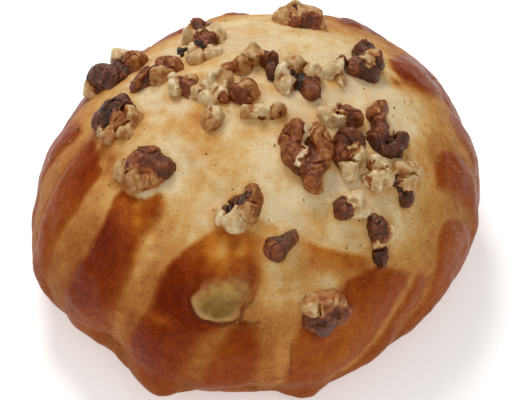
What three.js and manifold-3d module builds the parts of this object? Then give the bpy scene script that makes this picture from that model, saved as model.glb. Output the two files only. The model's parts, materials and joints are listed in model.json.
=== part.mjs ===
import * as THREE from 'three';
import { mergeVertices } from 'three/addons/utils/BufferGeometryUtils.js';
import Module from 'manifold-3d';

// Raisin nut bread: one round loaf with broken walnut kernels baked onto its pale crown.
// Millimetres, +Z up. The loaf rests on z = 0, the photographed front faces -Y.

// Plan and profile of the loaf.
const MEAN_RADIUS = 65.8;
const OVAL_SHARE = 0.056;
const OVAL_AZIMUTH = 52;
const LOAF_HEIGHT = 66;
const BELT_HEIGHT = 20;
const FOOT_SHARE = 0.7;

// Browned tongues of crust climb the flank and swell a little between the paler creases.
const TONGUE_RISE = 0.7;
const CREASE_DEPTH = 0.25;
const TONGUE_FADE_TOP = 0.14;
const TONGUE_FADE_FOOT = 1.75;

// Blistered pocket on the front flank: a bulge over a sharp lower lip and a crease.
const POCKET = { azimuth: 260, drop: 0.652, halfWidth: 10, halfHeight: 8.2, rise: 1.9, crease: 0.5 };

// Meridian length of the upper profile, used to turn a drop into millimetres.
const MERIDIAN = 88;

// Sectors crowd towards the pocketed front, and rings towards the pocket's drop, by these shares.
const FRONT_CROWDING = 0.4;
const RING_CROWDING = 0.45;

// Grid of the loaf, and the coarser one that trims the kernels with a slack for its chords.
const LOAF_GRID = { sectors: 84, crownRings: 24, flankRings: 6 };
const CUT_GRID = { sectors: 60, crownRings: 13, flankRings: 4, slack: 0.15 };

// Kernels are cut clear of the loaf and of one another by this gap.
const GAP = 0.3;

// Kernels: how sharply their lobes part, and the steps of the search for the skin round a heart. A
// heart less full than this lies outside its curled arm and moves to the middle lobe.
const LOBE_PARTING = 2.6;
const SEARCH_STEP = 0.4;
const SEARCH_HALVINGS = 10;
const SEARCH_LIFT = 0.1;
const HEART_FULLNESS = 1.4;

// Fineness of an arm of few lobes and of many.
const MANY_LOBES = 6;
const FEW_LOBE_FACETS = 2;
const MANY_LOBE_FACETS = 3;

// One tongue: drop of its tip, azimuth at the tip, azimuth at the belt, half-width in degrees.
// A drop runs from 0 at the crown over 1 at the belt to 2 at the foot.
const TONGUES = [
  { tip: 0.55, from: 180, to: 185, half: 9 },
  { tip: 0.475, from: 199, to: 208, half: 6 },
  { tip: 0.42, from: 229, to: 224.5, half: 7 },
  { tip: 0.455, from: 262, to: 245.5, half: 9 },
  { tip: 0.745, from: 267, to: 263, half: 5 },
  { tip: 0.675, from: 299, to: 288.5, half: 11 },
  { tip: 0.82, from: 317.5, to: 310, half: 6 },
  { tip: 0.745, from: 332, to: 333, half: 10 },
  { tip: 0.585, from: 347, to: 350, half: 6 },
  { tip: 0.66, from: 9, to: 5.5, half: 8 },
  { tip: 0.415, from: 26, to: 25.5, half: 9 },
  { tip: 0.46, from: 58, to: 54, half: 7 },
  { tip: 0.5, from: 78, to: 73, half: 7 },
  { tip: 0.48, from: 98, to: 96, half: 7 },
  { tip: 0.46, from: 118, to: 120, half: 7 },
  { tip: 0.5, from: 138, to: 143, half: 7 },
  { tip: 0.48, from: 156, to: 163, half: 7 },
];

// Broad swells and hollows of the hand-shaped dough: azimuth, drop, reach across and along, rise.
const SWELLS = [
  { azimuth: 231, drop: 1.12, across: 13, along: 20, rise: -5.2 },
  { azimuth: 226, drop: 1.45, across: 10, along: 14, rise: -2.0 },
  { azimuth: 246, drop: 1.3, across: 9, along: 12, rise: 2.9 },
  { azimuth: 265, drop: 1.35, across: 12, along: 16, rise: -3.4 },
  { azimuth: 282, drop: 1.45, across: 8, along: 11, rise: 2.6 },
  { azimuth: 300, drop: 1.45, across: 9, along: 12, rise: -1.3 },
  { azimuth: 311, drop: 0.98, across: 14, along: 18, rise: -2.2 },
  { azimuth: 322, drop: 1.35, across: 11, along: 14, rise: -0.8 },
  { azimuth: 22, drop: 0.75, across: 24, along: 22, rise: -1.3 },
  { azimuth: 168, drop: 0.75, across: 20, along: 18, rise: -1.0 },
  { azimuth: 183, drop: 1.0, across: 15, along: 18, rise: -0.6 },
  { azimuth: 203, drop: 0.95, across: 10, along: 14, rise: 1.0 },
  { azimuth: 125, drop: 0.55, across: 14, along: 16, rise: -1.1 },
  { azimuth: 86, drop: 0.6, across: 12, along: 18, rise: -1.3 },
  { azimuth: 283, drop: 0.62, across: 14, along: 8, rise: 0.7 },
  { azimuth: 320, drop: 0.5, across: 16, along: 10, rise: 0.6 },
  { azimuth: 205, drop: 0.35, across: 12, along: 10, rise: 0.7 },
  { azimuth: 130, drop: 1.1, across: 18, along: 14, rise: 0.8 },
];

// Walnut pieces: plan place, tone and arms of rounded lobes, [right, upslope, radius, height] each.
// A broken face is [turn from +X, lean above the skin, distance from the place].
const KERNELS = [
  {
    x: 10.8, y: 33, tone: 'brown', face: [-90, 42, 4.6],
    arms: [[[-2.7, 0.6, 4.1, 6], [1.6, 0, 4.6, 6.4], [5.6, -0.8, 3.5, 5.2]]],
  },
  {
    x: -15.5, y: 20, tone: 'brown',
    arms: [
      [[0, 6, 4.2, 5.9], [-3.7, 3.6, 2.8, 5], [3.8, 2, 3.2, 5.4], [1.2, -2.4, 3, 4.6]],
      [[1.2, -2.4, 3, 4.6], [-2.6, -5, 3, 4], [-1.8, -8.6, 2.7, 3], [3, -6.6, 2.8, 3.2]],
    ],
  },
  {
    x: -40.7, y: 15.8, tone: 'dark',
    arms: [
      [[7.4, 0.8, 3.5, 5.4], [0, -1.2, 4.6, 6], [3, 6, 3.6, 7.4]],
      [[0, -1.2, 4.6, 6], [-4, 2.6, 4, 5.6], [-6.8, 7, 3.4, 5.2], [-8, 1.6, 3.2, 3.8]],
    ],
  },
  {
    x: -28, y: 6, tone: 'brown',
    arms: [
      [
        [-6, -1, 2.5, 3.4], [-2.8, 0.8, 3, 5], [1.4, -0.8, 3.2, 5],
        [2.4, 3.8, 3, 5.6], [5.6, 3.4, 2.6, 4.4],
      ],
    ],
  },
  {
    x: -20.3, y: -1.2, tone: 'pale',
    arms: [[[-1.8, 3.2, 2.3, 5.6], [-2.2, -1.2, 2.5, 5.2], [1.8, -1.2, 2.7, 4.8], [2.4, 3.6, 2.2, 3.4]]],
  },
  {
    x: -12, y: -3.4, tone: 'pale',
    arms: [
      [
        [-0.6, 1.4, 3.4, 5.6], [3.6, 4, 2.4, 4], [-4.2, -0.8, 2.4, 3.4],
        [-1.2, -3.6, 2.4, 3.4], [2.4, -3, 2.7, 4],
      ],
    ],
  },
  {
    x: -3.6, y: -6, tone: 'brown',
    arms: [[[-3, 0.8, 2.8, 4.4], [1.2, 1.5, 3.3, 5], [-1, -1.4, 2.6, 3.6]]],
  },
  {
    x: -2, y: 5.5, tone: 'brown',
    arms: [
      [[-6, 0.2, 1.9, 3], [-2.4, -1.4, 2.6, 5], [0.6, 3.2, 3.4, 7]],
      [[0.6, 3.2, 3.4, 7], [5.4, 0.8, 2.7, 6], [6.2, -4.4, 2.4, 4.4]],
    ],
  },
  {
    x: 10.5, y: 0, tone: 'pale', face: [-90, 62, 5.4],
    arms: [
      [[-3.6, -3.2, 2.5, 5], [-4.2, 0, 3.1, 6.2], [-0.6, 4, 3.2, 7], [0.2, -1.2, 3, 3.2]],
      [[-0.6, 4, 3.2, 7], [4.2, 1.6, 3.2, 6.4], [3.8, -4.2, 3.3, 5], [0.2, -1.2, 3, 3.2]],
    ],
  },
  {
    x: 20.8, y: 4, tone: 'pale',
    arms: [[[0, 1.2, 3.2, 5], [-2.6, 1, 2, 3.8], [1.4, -1.6, 2.4, 3.2], [1.8, 4.8, 2.3, 4.8]]],
  },
  {
    x: 29.5, y: 10.5, tone: 'dark', face: [-60, 55, 5],
    arms: [
      [
        [-0.6, 6.4, 3.2, 6.4], [2.6, 2.8, 3.4, 6.2], [-3.6, -1.6, 3, 5],
        [-0.6, -0.4, 3.4, 6], [2.4, -2, 2.3, 4],
      ],
    ],
  },
  {
    x: -12.3, y: -15.2, tone: 'brown',
    arms: [[[-1.2, 2.2, 2.6, 3.6], [1.5, 2.2, 2.5, 4], [-0.6, -1.4, 2.5, 3]]],
  },
  {
    x: 1, y: -13.6, tone: 'pale', face: [-90, 78, 2.9],
    arms: [[[-4.2, 1.4, 2.3, 3.3], [-0.4, 1.2, 2.6, 3.4], [4.2, 1.6, 2.5, 3.7]]],
  },
  {
    x: 13, y: -24.5, tone: 'brown',
    arms: [
      [
        [-3.6, 7.2, 2.9, 6], [-4.8, 3.2, 3, 6.4], [-4.7, -1.2, 2.9, 5.8],
        [-1, 5, 2.8, 4.8], [-1, -1.2, 3.2, 4.9], [-1.6, -4.2, 2.6, 4.6],
      ],
      [
        [2.2, 7, 3, 6], [3.4, 3, 3.3, 6.8], [3, -1, 3.4, 6.6],
        [0.6, -5, 3.5, 5.6], [1.2, -8.4, 2.8, 4], [0, 2.6, 2.4, 4.6],
      ],
    ],
  },
  {
    x: 22.6, y: -11.4, tone: 'brown',
    arms: [[[-4.6, 0.8, 2.8, 4.4], [-2, -1.4, 2.6, 4], [0.2, 1.4, 2.8, 5.4], [3.6, 0.4, 2.8, 4.6]]],
  },
  {
    x: 24.4, y: -22.6, tone: 'dark', face: [-15, 40, 4.2],
    arms: [
      [
        [-1.8, 4.8, 3.2, 6], [1.4, 4.4, 2.7, 5.2], [-3.4, -0.8, 2.8, 5],
        [1.4, -0.4, 3.2, 5.6], [-0.8, -4.6, 3, 4.4],
      ],
    ],
  },
  {
    x: 35, y: -13.5, tone: 'dark',
    arms: [
      [
        [-3.7, 8, 2.7, 5.2], [-3.6, 4.6, 3, 5.6], [-4.4, -0.8, 2.8, 5],
        [-2.4, -4.4, 2.6, 4.6], [-0.8, 1, 2.4, 3],
      ],
      [[-2.4, -4.4, 2.6, 4.6], [1.2, -4.2, 2.7, 4.6], [3.4, 0.2, 2.5, 4.4]],
    ],
  },
  {
    x: 31.6, y: -27.5, tone: 'pale',
    arms: [[[-1, 4.6, 3.5, 5], [-2, 0.2, 3.2, 4.6], [0.8, 0.8, 2.9, 4.8]]],
  },
  {
    x: 39.8, y: -25.8, tone: 'pale',
    arms: [[[-3.4, 4.4, 3.1, 4.8], [0.8, 4.8, 3.2, 5], [-1.8, 0.8, 3.4, 5], [-1.4, -3.2, 2.3, 3.4]]],
  },
  {
    x: 24.2, y: -38, tone: 'pale',
    arms: [[[-2.8, 1.4, 2.8, 4.4], [1.4, 2.2, 3.4, 4.8], [-0.4, 3.8, 2.5, 4]]],
  },
  {
    x: 31.7, y: -42, tone: 'dark',
    arms: [
      [
        [-1.6, 5.2, 3.2, 5], [1.4, 5, 2.6, 4.2], [-0.6, 1.4, 2.9, 3.2],
        [0, -2, 2.3, 3.4], [0.2, -3.8, 1.5, 2.4],
      ],
    ],
  },
  {
    x: 5.6, y: -49.7, tone: 'dark',
    arms: [[[-2.2, 1.8, 2.6, 4], [0.4, 3, 2.8, 4.4], [2.8, 4.4, 2.1, 3.8], [-0.5, 0, 1.8, 2.8]]],
  },
  {
    x: -5.2, y: -41, tone: 'pale',
    arms: [
      [
        [-1.4, -1.8, 4, 4.4], [-3.8, -0.8, 2.8, 3.6], [0.4, 2.6, 2.8, 3.8],
        [3, 0.6, 3.3, 4.6], [4, 4.6, 2.7, 4.6], [3.6, 7.2, 2, 3.4],
      ],
    ],
  },
  {
    x: 16.8, y: -57.4, tone: 'brown',
    arms: [
      [
        [-4, 2.4, 3, 4.6], [-0.2, 2.8, 3, 5.2], [3.2, 3.2, 2.8, 4.6], [4.8, -0.6, 3, 5],
        [0.6, -0.6, 3, 4.4], [-0.8, -3.4, 3, 4.4], [-3.8, -2.4, 2.4, 3.6], [-0.4, -5.8, 2, 3],
      ],
    ],
  },
  {
    x: -30.6, y: -26.4, tone: 'brown',
    arms: [
      [
        [2.8, 3.6, 3.5, 6.4], [6.6, -0.2, 3, 4.8], [-0.8, 1.6, 3.2, 5.4],
        [-5.4, 0.8, 3.2, 4.2], [-0.8, -2.8, 3.4, 4.8], [2.8, -3.2, 2.9, 4],
      ],
    ],
  },
  {
    x: -38.4, y: -9.6, tone: 'dark',
    arms: [
      [
        [-0.2, 5, 3.4, 6.4], [3.4, 5.2, 2.9, 5.8], [-3.8, 2.8, 3.2, 5.4], [2, 0.8, 3, 4.4],
        [5.8, 1.6, 2.7, 4.8], [3, -3, 2.6, 3.4], [-2.2, -3.2, 2.9, 3.8],
      ],
    ],
  },
  {
    x: 14, y: 65.5, tone: 'brown',
    arms: [[[-4, 0, 3, 4.4], [0, 1.6, 3.2, 5], [4, -0.6, 3, 4.6], [0, -2.8, 2.7, 3.8]]],
  },
  {
    x: -43.5, y: 43.5, tone: 'pale',
    arms: [[[-2.6, 0.4, 2.9, 4.2], [1.8, 0, 3.1, 4.6]]],
  },
];

const CRUST_COLOUR = 0xb9803f;
const KERNEL_COLOURS = { pale: 0xcaa878, brown: 0x8a4f26, dark: 0x472314 };

const wasm = await Module();
wasm.setup();

const radians = THREE.MathUtils.degToRad;
const smooth = THREE.MathUtils.smoothstep;

// Shortest signed angle from one azimuth to another, in degrees.
function turnBetween(from, to) {
  return THREE.MathUtils.euclideanModulo(to - from + 180, 360) - 180;
}

// Plan radius of the belt at an azimuth.
function beltRadius(azimuth) {
  return MEAN_RADIUS * (1 + OVAL_SHARE * Math.cos(2 * radians(azimuth - OVAL_AZIMUTH)));
}

// Radius and height of the bare dome at an azimuth and a drop.
function profile(azimuth, drop) {
  const belt = beltRadius(azimuth);
  const angle = radians(90 * drop);
  if (drop <= 1) {
    const height = BELT_HEIGHT + (LOAF_HEIGHT - BELT_HEIGHT) * Math.cos(angle);
    return { radius: belt * Math.sin(angle), height };
  }
  const lower = angle - Math.PI / 2;
  const radius = belt * (FOOT_SHARE + (1 - FOOT_SHARE) * Math.cos(lower));
  return { radius, height: BELT_HEIGHT * (1 - Math.sin(lower)) };
}

// Point of the bare dome.
function domePoint(azimuth, drop) {
  const { radius, height } = profile(azimuth, drop);
  const angle = radians(azimuth);
  return new THREE.Vector3(radius * Math.cos(angle), radius * Math.sin(angle), height);
}

// Outward normal of the bare dome.
function domeNormal(azimuth, drop) {
  const step = 0.004;
  const near = Math.max(drop, 0.02);
  const along = domePoint(azimuth, near + step).sub(domePoint(azimuth, near - step));
  const around = domePoint(azimuth + 0.5, near).sub(domePoint(azimuth - 0.5, near));
  return along.cross(around).normalize();
}

// Swell of the tongues above the creases between them.
function tongueRelief(azimuth, drop) {
  let share = 0;
  for (const tongue of TONGUES) {
    const run = (drop - tongue.tip) / (1 - tongue.tip);
    const centre = tongue.from + turnBetween(tongue.from, tongue.to) * run;
    const offset = Math.min(Math.abs(turnBetween(centre, azimuth)) / tongue.half, 1.6);
    const bell = 0.5 + 0.5 * Math.cos(Math.PI * offset / 1.6);
    const tip = smooth(drop, tongue.tip - 0.04, tongue.tip + TONGUE_FADE_TOP);
    share = Math.max(share, bell * tip);
  }
  const flank = smooth(drop, 0.45, 0.75);
  const fade = 1 - smooth(drop, 1.3, TONGUE_FADE_FOOT);
  return fade * (share * TONGUE_RISE - (1 - share) * CREASE_DEPTH * flank);
}

// Offset in millimetres, across and down the slope, from a place on the loaf.
function slopeOffset(place, azimuth, drop) {
  const radius = profile(azimuth, drop).radius;
  const across = radians(turnBetween(place.azimuth, azimuth)) * radius;
  return { across, down: (drop - place.drop) * MERIDIAN };
}

// Bulge of the pocket, soft above and ended below by a lip with a crease under it.
function pocketRelief(azimuth, drop) {
  const { across, down } = slopeOffset(POCKET, azimuth, drop);
  const reach = Math.hypot(across / POCKET.halfWidth, down / POCKET.halfHeight);
  const lower = smooth(down, -POCKET.halfHeight, 0.6 * POCKET.halfHeight);
  if (reach < 1) {
    return POCKET.rise * (1 - reach ** 4) * (0.3 + 0.7 * lower);
  }
  return -POCKET.crease * lower * smooth(reach, 1, 1.15) * (1 - smooth(reach, 1.15, 1.6));
}

// Height of the loaf's skin above the bare dome.
function relief(azimuth, drop) {
  let sum = tongueRelief(azimuth, drop) + pocketRelief(azimuth, drop);
  for (const swell of SWELLS) {
    const { across, down } = slopeOffset(swell, azimuth, drop);
    sum += swell.rise * Math.exp(-((across / swell.across) ** 2) - (down / swell.along) ** 2);
  }
  return sum;
}

// Point of the loaf's skin, moved out by an allowance.
function skinPoint(azimuth, drop, allowance = 0) {
  const point = domePoint(azimuth, drop);
  const fade = 1 - smooth(drop, 1.8, 2);
  point.addScaledVector(domeNormal(azimuth, drop), relief(azimuth, drop) * fade + allowance);
  point.z = Math.max(point.z, 0);
  return point;
}

// Share of a turn, moved towards a place where a closed row of steps crowds.
function crowd(share, place, strength) {
  const turn = 2 * Math.PI;
  const ease = Math.sin(turn * (share - place)) + Math.sin(turn * place);
  return share - strength * ease / turn;
}

// Closed triangle mesh of the loaf: crown point, rings of the skin and a flat foot.
function loafGeometry(grid, allowance) {
  const { sectors, crownRings, flankRings } = grid;
  const points = [skinPoint(0, 0, allowance)];
  const rings = crownRings + flankRings;
  for (let ring = 1; ring <= rings; ring += 1) {
    const upper = crowd(ring / crownRings, POCKET.drop, RING_CROWDING);
    const drop = ring > crownRings ? 1 + (ring - crownRings) / flankRings : upper;
    for (let sector = 0; sector < sectors; sector += 1) {
      const azimuth = 360 * crowd(sector / sectors, POCKET.azimuth / 360, FRONT_CROWDING);
      points.push(skinPoint(azimuth, drop, allowance));
    }
  }
  points.push(new THREE.Vector3(0, 0, 0));
  const last = points.length - 1;
  const index = [];
  const at = (ring, sector) => 1 + (ring - 1) * sectors + (sector % sectors);
  for (let sector = 0; sector < sectors; sector += 1) {
    index.push(0, at(1, sector), at(1, sector + 1));
    for (let ring = 1; ring < rings; ring += 1) {
      const upper = [at(ring, sector), at(ring, sector + 1)];
      const lower = [at(ring + 1, sector), at(ring + 1, sector + 1)];
      index.push(upper[0], lower[0], lower[1]);
      index.push(upper[0], lower[1], upper[1]);
    }
    index.push(last, at(rings, sector + 1), at(rings, sector));
  }
  const geometry = new THREE.BufferGeometry().setFromPoints(points);
  geometry.setIndex(index);
  return geometry;
}

// Solid of a closed geometry, for joins and cuts.
function solidOf(geometry) {
  const bare = geometry.clone();
  bare.deleteAttribute('normal');
  bare.deleteAttribute('uv');
  const merged = mergeVertices(bare, 1e-4);
  const vertProperties = new Float32Array(merged.attributes.position.array);
  const triVerts = new Uint32Array(merged.index.array);
  return new wasm.Manifold(new wasm.Mesh({ numProp: 3, vertProperties, triVerts }));
}

// Geometry of a solid.
function geometryOf(solid) {
  const mesh = solid.getMesh();
  const geometry = new THREE.BufferGeometry();
  geometry.setAttribute('position', new THREE.BufferAttribute(new Float32Array(mesh.vertProperties), 3));
  geometry.setIndex(Array.from(mesh.triVerts));
  const flat = geometry.toNonIndexed();
  flat.computeVertexNormals();
  return flat;
}

// Fullness of a lobe cluster at a point, one at its skin and more inside.
function fullness(point, lobes, allowance) {
  let sum = 0;
  for (const [right, upslope, radius, height] of lobes) {
    const flat = Math.hypot(point.x - right, point.y - upslope) / (radius + allowance);
    const rise = point.z / (height + allowance);
    sum += Math.exp(LOBE_PARTING * (1 - flat * flat - rise * rise));
  }
  return sum;
}

// Distance from the heart of a lobe cluster to its skin in one direction.
function skinReach(heart, way, lobes, allowance) {
  const full = (reach) => fullness(heart.clone().addScaledVector(way, reach), lobes, allowance) > 1;
  let inner = 0;
  while (full(inner + SEARCH_STEP)) {
    inner += SEARCH_STEP;
  }
  let step = SEARCH_STEP;
  for (let i = 0; i < SEARCH_HALVINGS; i += 1) {
    step /= 2;
    inner += full(inner + step) ? step : 0;
  }
  return inner;
}

// Size of a lobe cluster along each axis, and its heart: the middle, or the middle lobe of a curl.
function clusterSpan(lobes) {
  const box = new THREE.Box3();
  for (const [right, upslope, radius, height] of lobes) {
    box.expandByPoint(new THREE.Vector3(right - radius, upslope - radius, -height));
    box.expandByPoint(new THREE.Vector3(right + radius, upslope + radius, height));
  }
  const middle = box.getCenter(new THREE.Vector3());
  const [right, upslope] = lobes[Math.floor(lobes.length / 2)];
  const curled = fullness(middle, lobes, 0) < HEART_FULLNESS;
  const heart = curled ? new THREE.Vector3(right, upslope, 0) : middle;
  return { heart, size: box.getSize(new THREE.Vector3()) };
}

// Solid of one arm of a kernel: lobes that melt into one another.
function armSolid(lobes, allowance) {
  const { heart, size } = clusterSpan(lobes);
  const facets = lobes.length < MANY_LOBES ? FEW_LOBE_FACETS : MANY_LOBE_FACETS;
  const lift = new THREE.Vector3(0, 0, SEARCH_LIFT);
  const ball = new THREE.IcosahedronGeometry(1, facets);
  ball.deleteAttribute('normal');
  ball.deleteAttribute('uv');
  const round = mergeVertices(ball, 1e-4);
  const position = round.attributes.position;
  for (let i = 0; i < position.count; i += 1) {
    const way = new THREE.Vector3().fromBufferAttribute(position, i).add(lift).multiply(size).normalize();
    const point = way.clone().multiplyScalar(skinReach(heart, way, lobes, allowance)).add(heart);
    position.setXYZ(i, point.x, point.y, point.z);
  }
  return solidOf(round);
}

// Frame of a kernel on the skin: right, upslope and outward axes at its place.
function kernelFrame(kernel) {
  const azimuth = THREE.MathUtils.radToDeg(Math.atan2(kernel.y, kernel.x));
  const share = Math.min(Math.hypot(kernel.x, kernel.y) / beltRadius(azimuth), 0.995);
  const drop = Math.asin(share) / (Math.PI / 2);
  const outward = domeNormal(azimuth, drop);
  const upslope = new THREE.Vector3().crossVectors(outward, new THREE.Vector3(1, 0, 0)).normalize();
  const right = new THREE.Vector3().crossVectors(upslope, outward);
  return new THREE.Matrix4().makeBasis(right, upslope, outward).setPosition(skinPoint(azimuth, drop));
}

// Solid of one kernel on the loaf, its sizes widened by an allowance.
function kernelSolid(kernel, allowance) {
  let solid = wasm.Manifold.union(kernel.arms.map((lobes) => armSolid(lobes, allowance)));
  if (kernel.face) {
    const [turn, lean, distance] = kernel.face;
    const inward = new THREE.Vector3().setFromSphericalCoords(-1, radians(90 - lean), radians(90 - turn));
    solid = solid.trimByPlane([inward.x, inward.z, inward.y], -distance - allowance);
  }
  return solid.transform(kernelFrame(kernel).toArray());
}

// Reach of a kernel in plan from its place.
function kernelReach(kernel) {
  const reaches = kernel.arms.flat().map(([right, upslope, radius]) => Math.hypot(right, upslope) + radius);
  return Math.max(...reaches);
}

// Largest body of a solid that a cut has split.
function mainBody(solid) {
  const bodies = solid.decompose();
  bodies.sort((a, b) => b.volume() - a.volume());
  return bodies[0];
}

// Mesh of a solid, its own frame moved to a place on the loaf.
function placedMesh(name, solid, frame, material) {
  const geometry = geometryOf(solid).applyMatrix4(frame.clone().invert());
  const mesh = new THREE.Mesh(geometry, material);
  mesh.name = name;
  mesh.applyMatrix4(frame);
  return mesh;
}

// The loaf.
function makeLoaf() {
  const crust = new THREE.MeshStandardMaterial({ color: CRUST_COLOUR, roughness: 0.45, metalness: 0 });
  return placedMesh('loaf', solidOf(loafGeometry(LOAF_GRID, 0)), new THREE.Matrix4(), crust);
}

// The walnut pieces, each cut clear of the loaf and of the pieces before it.
function makeKernels() {
  const kernels = new THREE.Group();
  kernels.name = 'kernels';
  const keepOut = solidOf(loafGeometry(CUT_GRID, GAP + CUT_GRID.slack));
  const earlier = [];
  KERNELS.forEach((kernel, i) => {
    const reach = kernelReach(kernel);
    let solid = kernelSolid(kernel, 0).subtract(keepOut);
    for (const other of earlier) {
      if (Math.hypot(other.x - kernel.x, other.y - kernel.y) < reach + other.reach) {
        solid = solid.subtract(other.grown);
      }
    }
    earlier.push({ x: kernel.x, y: kernel.y, reach, grown: kernelSolid(kernel, GAP) });
    const color = KERNEL_COLOURS[kernel.tone];
    const skin = new THREE.MeshStandardMaterial({ color, roughness: 0.6, metalness: 0 });
    const name = `walnut_${String(i + 1).padStart(2, '0')}`;
    kernels.add(placedMesh(name, mainBody(solid), kernelFrame(kernel), skin));
  });
  return kernels;
}

// The whole bread, its plan centred on the origin.
function makeBread() {
  const bread = new THREE.Group();
  bread.name = 'raisin_nut_bread';
  bread.add(makeLoaf(), makeKernels());
  const middle = new THREE.Box3().setFromObject(bread, true).getCenter(new THREE.Vector3());
  bread.position.set(-middle.x, -middle.y, 0);
  return bread;
}

export default new THREE.Group().add(makeBread());
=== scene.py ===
import json
import math

import bpy
import numpy as np
from bpy.props import FloatProperty, FloatVectorProperty, IntProperty, PointerProperty
from mathutils import Matrix, Vector


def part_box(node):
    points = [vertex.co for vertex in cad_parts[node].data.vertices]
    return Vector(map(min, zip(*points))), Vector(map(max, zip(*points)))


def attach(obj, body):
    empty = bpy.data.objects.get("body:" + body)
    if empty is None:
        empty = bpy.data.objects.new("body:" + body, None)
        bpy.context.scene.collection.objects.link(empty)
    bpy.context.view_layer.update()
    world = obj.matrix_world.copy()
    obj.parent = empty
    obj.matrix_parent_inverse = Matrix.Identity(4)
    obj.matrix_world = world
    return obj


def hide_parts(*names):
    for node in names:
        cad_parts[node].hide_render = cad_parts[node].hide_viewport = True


bl_info = {
    "name": "Raisin Nut Bread",
    "version": (1, 0, 0),
    "blender": (4, 5, 0),
    "location": "View3D > Sidebar > Bread",
    "description": "Dresses a round bread roll with a browned crust, walnut kernels and crumbs",
    "category": "Object",
}

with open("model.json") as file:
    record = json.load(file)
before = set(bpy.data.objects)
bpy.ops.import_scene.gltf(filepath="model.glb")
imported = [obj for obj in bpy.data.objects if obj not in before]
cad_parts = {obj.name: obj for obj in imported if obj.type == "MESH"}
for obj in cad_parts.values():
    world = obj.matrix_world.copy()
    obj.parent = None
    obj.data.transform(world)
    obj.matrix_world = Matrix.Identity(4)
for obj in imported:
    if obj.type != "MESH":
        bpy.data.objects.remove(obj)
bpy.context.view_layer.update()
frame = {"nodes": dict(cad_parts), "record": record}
MM = 0.001

# Plan and profile of the loaf, in millimetres and degrees. A drop runs from 0 at the crown
# over 1 at the belt and 2 at the foot to 3 in the middle of the base.
MEAN_RADIUS = 65.8
OVAL_SHARE = 0.056
OVAL_AZIMUTH = 52.0
LOAF_HEIGHT = 66.0
BELT_HEIGHT = 20.0
FOOT_SHARE = 0.7
MERIDIAN = 88.0

# Steps of drop and of degrees that find the dome's slope, and the drops between which it has one.
SLOPE_STEP = 0.004
SLOPE_TURN = 0.5
SLOPE_DROPS = (0.02, 1.99)

# Grid of the loaf's skin: sectors crowd to the front, rings to the pocket.
SECTORS = 560
CROWN_RINGS = 124
FLANK_RINGS = 28
BASE_RINGS = 6
FRONT_CROWDING = 0.3
RING_CROWDING = 0.3
FRONT_AZIMUTH = 260.0
FRONT_DROP = 0.652

# Azimuths run on from here, so that no tongue is cut in two.
FIRST_AZIMUTH = 45.0

# Browned tongues: rows of drop, lower and higher azimuth of the edges, then the softness of
# those edges in millimetres and the depth of browning.
TONGUES = (
    (((0.55, 182, 183), (0.58, 177, 184), (0.65, 172, 184.5), (0.75, 170, 186), (1.0, 175, 195),
      (1.4, 180, 197)), 6, 1.5, 0.62),
    (((0.475, 198, 199), (0.49, 190, 207.5), (0.55, 192, 209.5), (0.62, 195, 210.5), (0.7, 198, 210),
      (0.8, 200.5, 210), (0.9, 203, 211), (1.1, 205, 212.5), (1.4, 205, 213)), 6, 1.0, 0.55),
    (((0.40, 233, 234), (0.45, 229, 235.5), (0.475, 220.5, 235.5), (0.5, 219.5, 235.5),
      (0.6, 222, 235.5), (0.7, 221.5, 235), (0.8, 220, 234.3), (0.9, 219, 232.6), (1.0, 218, 231),
      (1.2, 217, 229), (1.45, 216, 228)), 1.0, 4, 1.0),
    (((0.455, 256, 268), (0.5, 251.5, 270), (0.55, 247.5, 270), (0.6, 245, 269.5), (0.65, 244, 268),
      (0.7, 243.5, 266), (0.75, 243.5, 262), (0.8, 242.3, 257), (0.85, 241, 255.3), (0.9, 239.7, 254),
      (1.0, 238.8, 252.5), (1.2, 238, 251), (1.45, 237, 250)), 1.0, 4.5, 0.9),
    (((0.745, 266, 267), (0.77, 264, 269.7), (0.85, 260.5, 269.7), (0.95, 258.5, 269.3),
      (1.1, 256.5, 268.5), (1.4, 255, 267)), 3, 3, 0.66),
    (((0.675, 299, 300), (0.69, 294, 305), (0.72, 290, 308.5), (0.76, 284, 311.5), (0.8, 280, 314),
      (0.825, 279, 312.4), (0.86, 278, 309), (0.92, 277.7, 305), (1.0, 277.3, 299), (1.1, 276.5, 293),
      (1.25, 275.5, 287), (1.45, 275, 284)), 2.0, 3.0, 0.5),
    (((0.82, 317, 318), (0.85, 315.5, 319), (0.9, 311.5, 320.5), (1.0, 303.5, 317), (1.1, 297.5, 311),
      (1.3, 290, 303), (1.5, 288, 299)), 2.4, 2, 0.45),
    (((0.745, 331.5, 332.5), (0.76, 329, 335.5), (0.8, 327, 338.5), (0.85, 325, 340.7),
      (0.9, 323.5, 342.5), (0.95, 321.5, 344), (1.05, 317, 344), (1.2, 311, 338), (1.4, 305, 330)),
     2.5, 1.2, 0.42),
    (((0.585, 346, 348), (0.6, 342, 352), (0.64, 338.5, 355), (0.7, 341.5, 357), (0.78, 345, 357),
      (0.88, 347, 357), (1.0, 346, 354), (1.3, 340, 350)), 3, 1.5, 0.5),
    (((0.66, 368, 370), (0.69, 364, 375), (0.75, 363, 379), (0.85, 360, 378), (1.0, 357, 374),
      (1.3, 354, 370)), 3, 3, 0.45),
    (((0.415, 385, 386), (0.44, 378, 390), (0.5, 375, 393), (0.55, 374, 396), (0.62, 378, 399),
      (0.7, 380, 400), (0.85, 380, 398), (1.0, 377, 394), (1.3, 374, 390)), 5, 1.5, 0.6),
)

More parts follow.
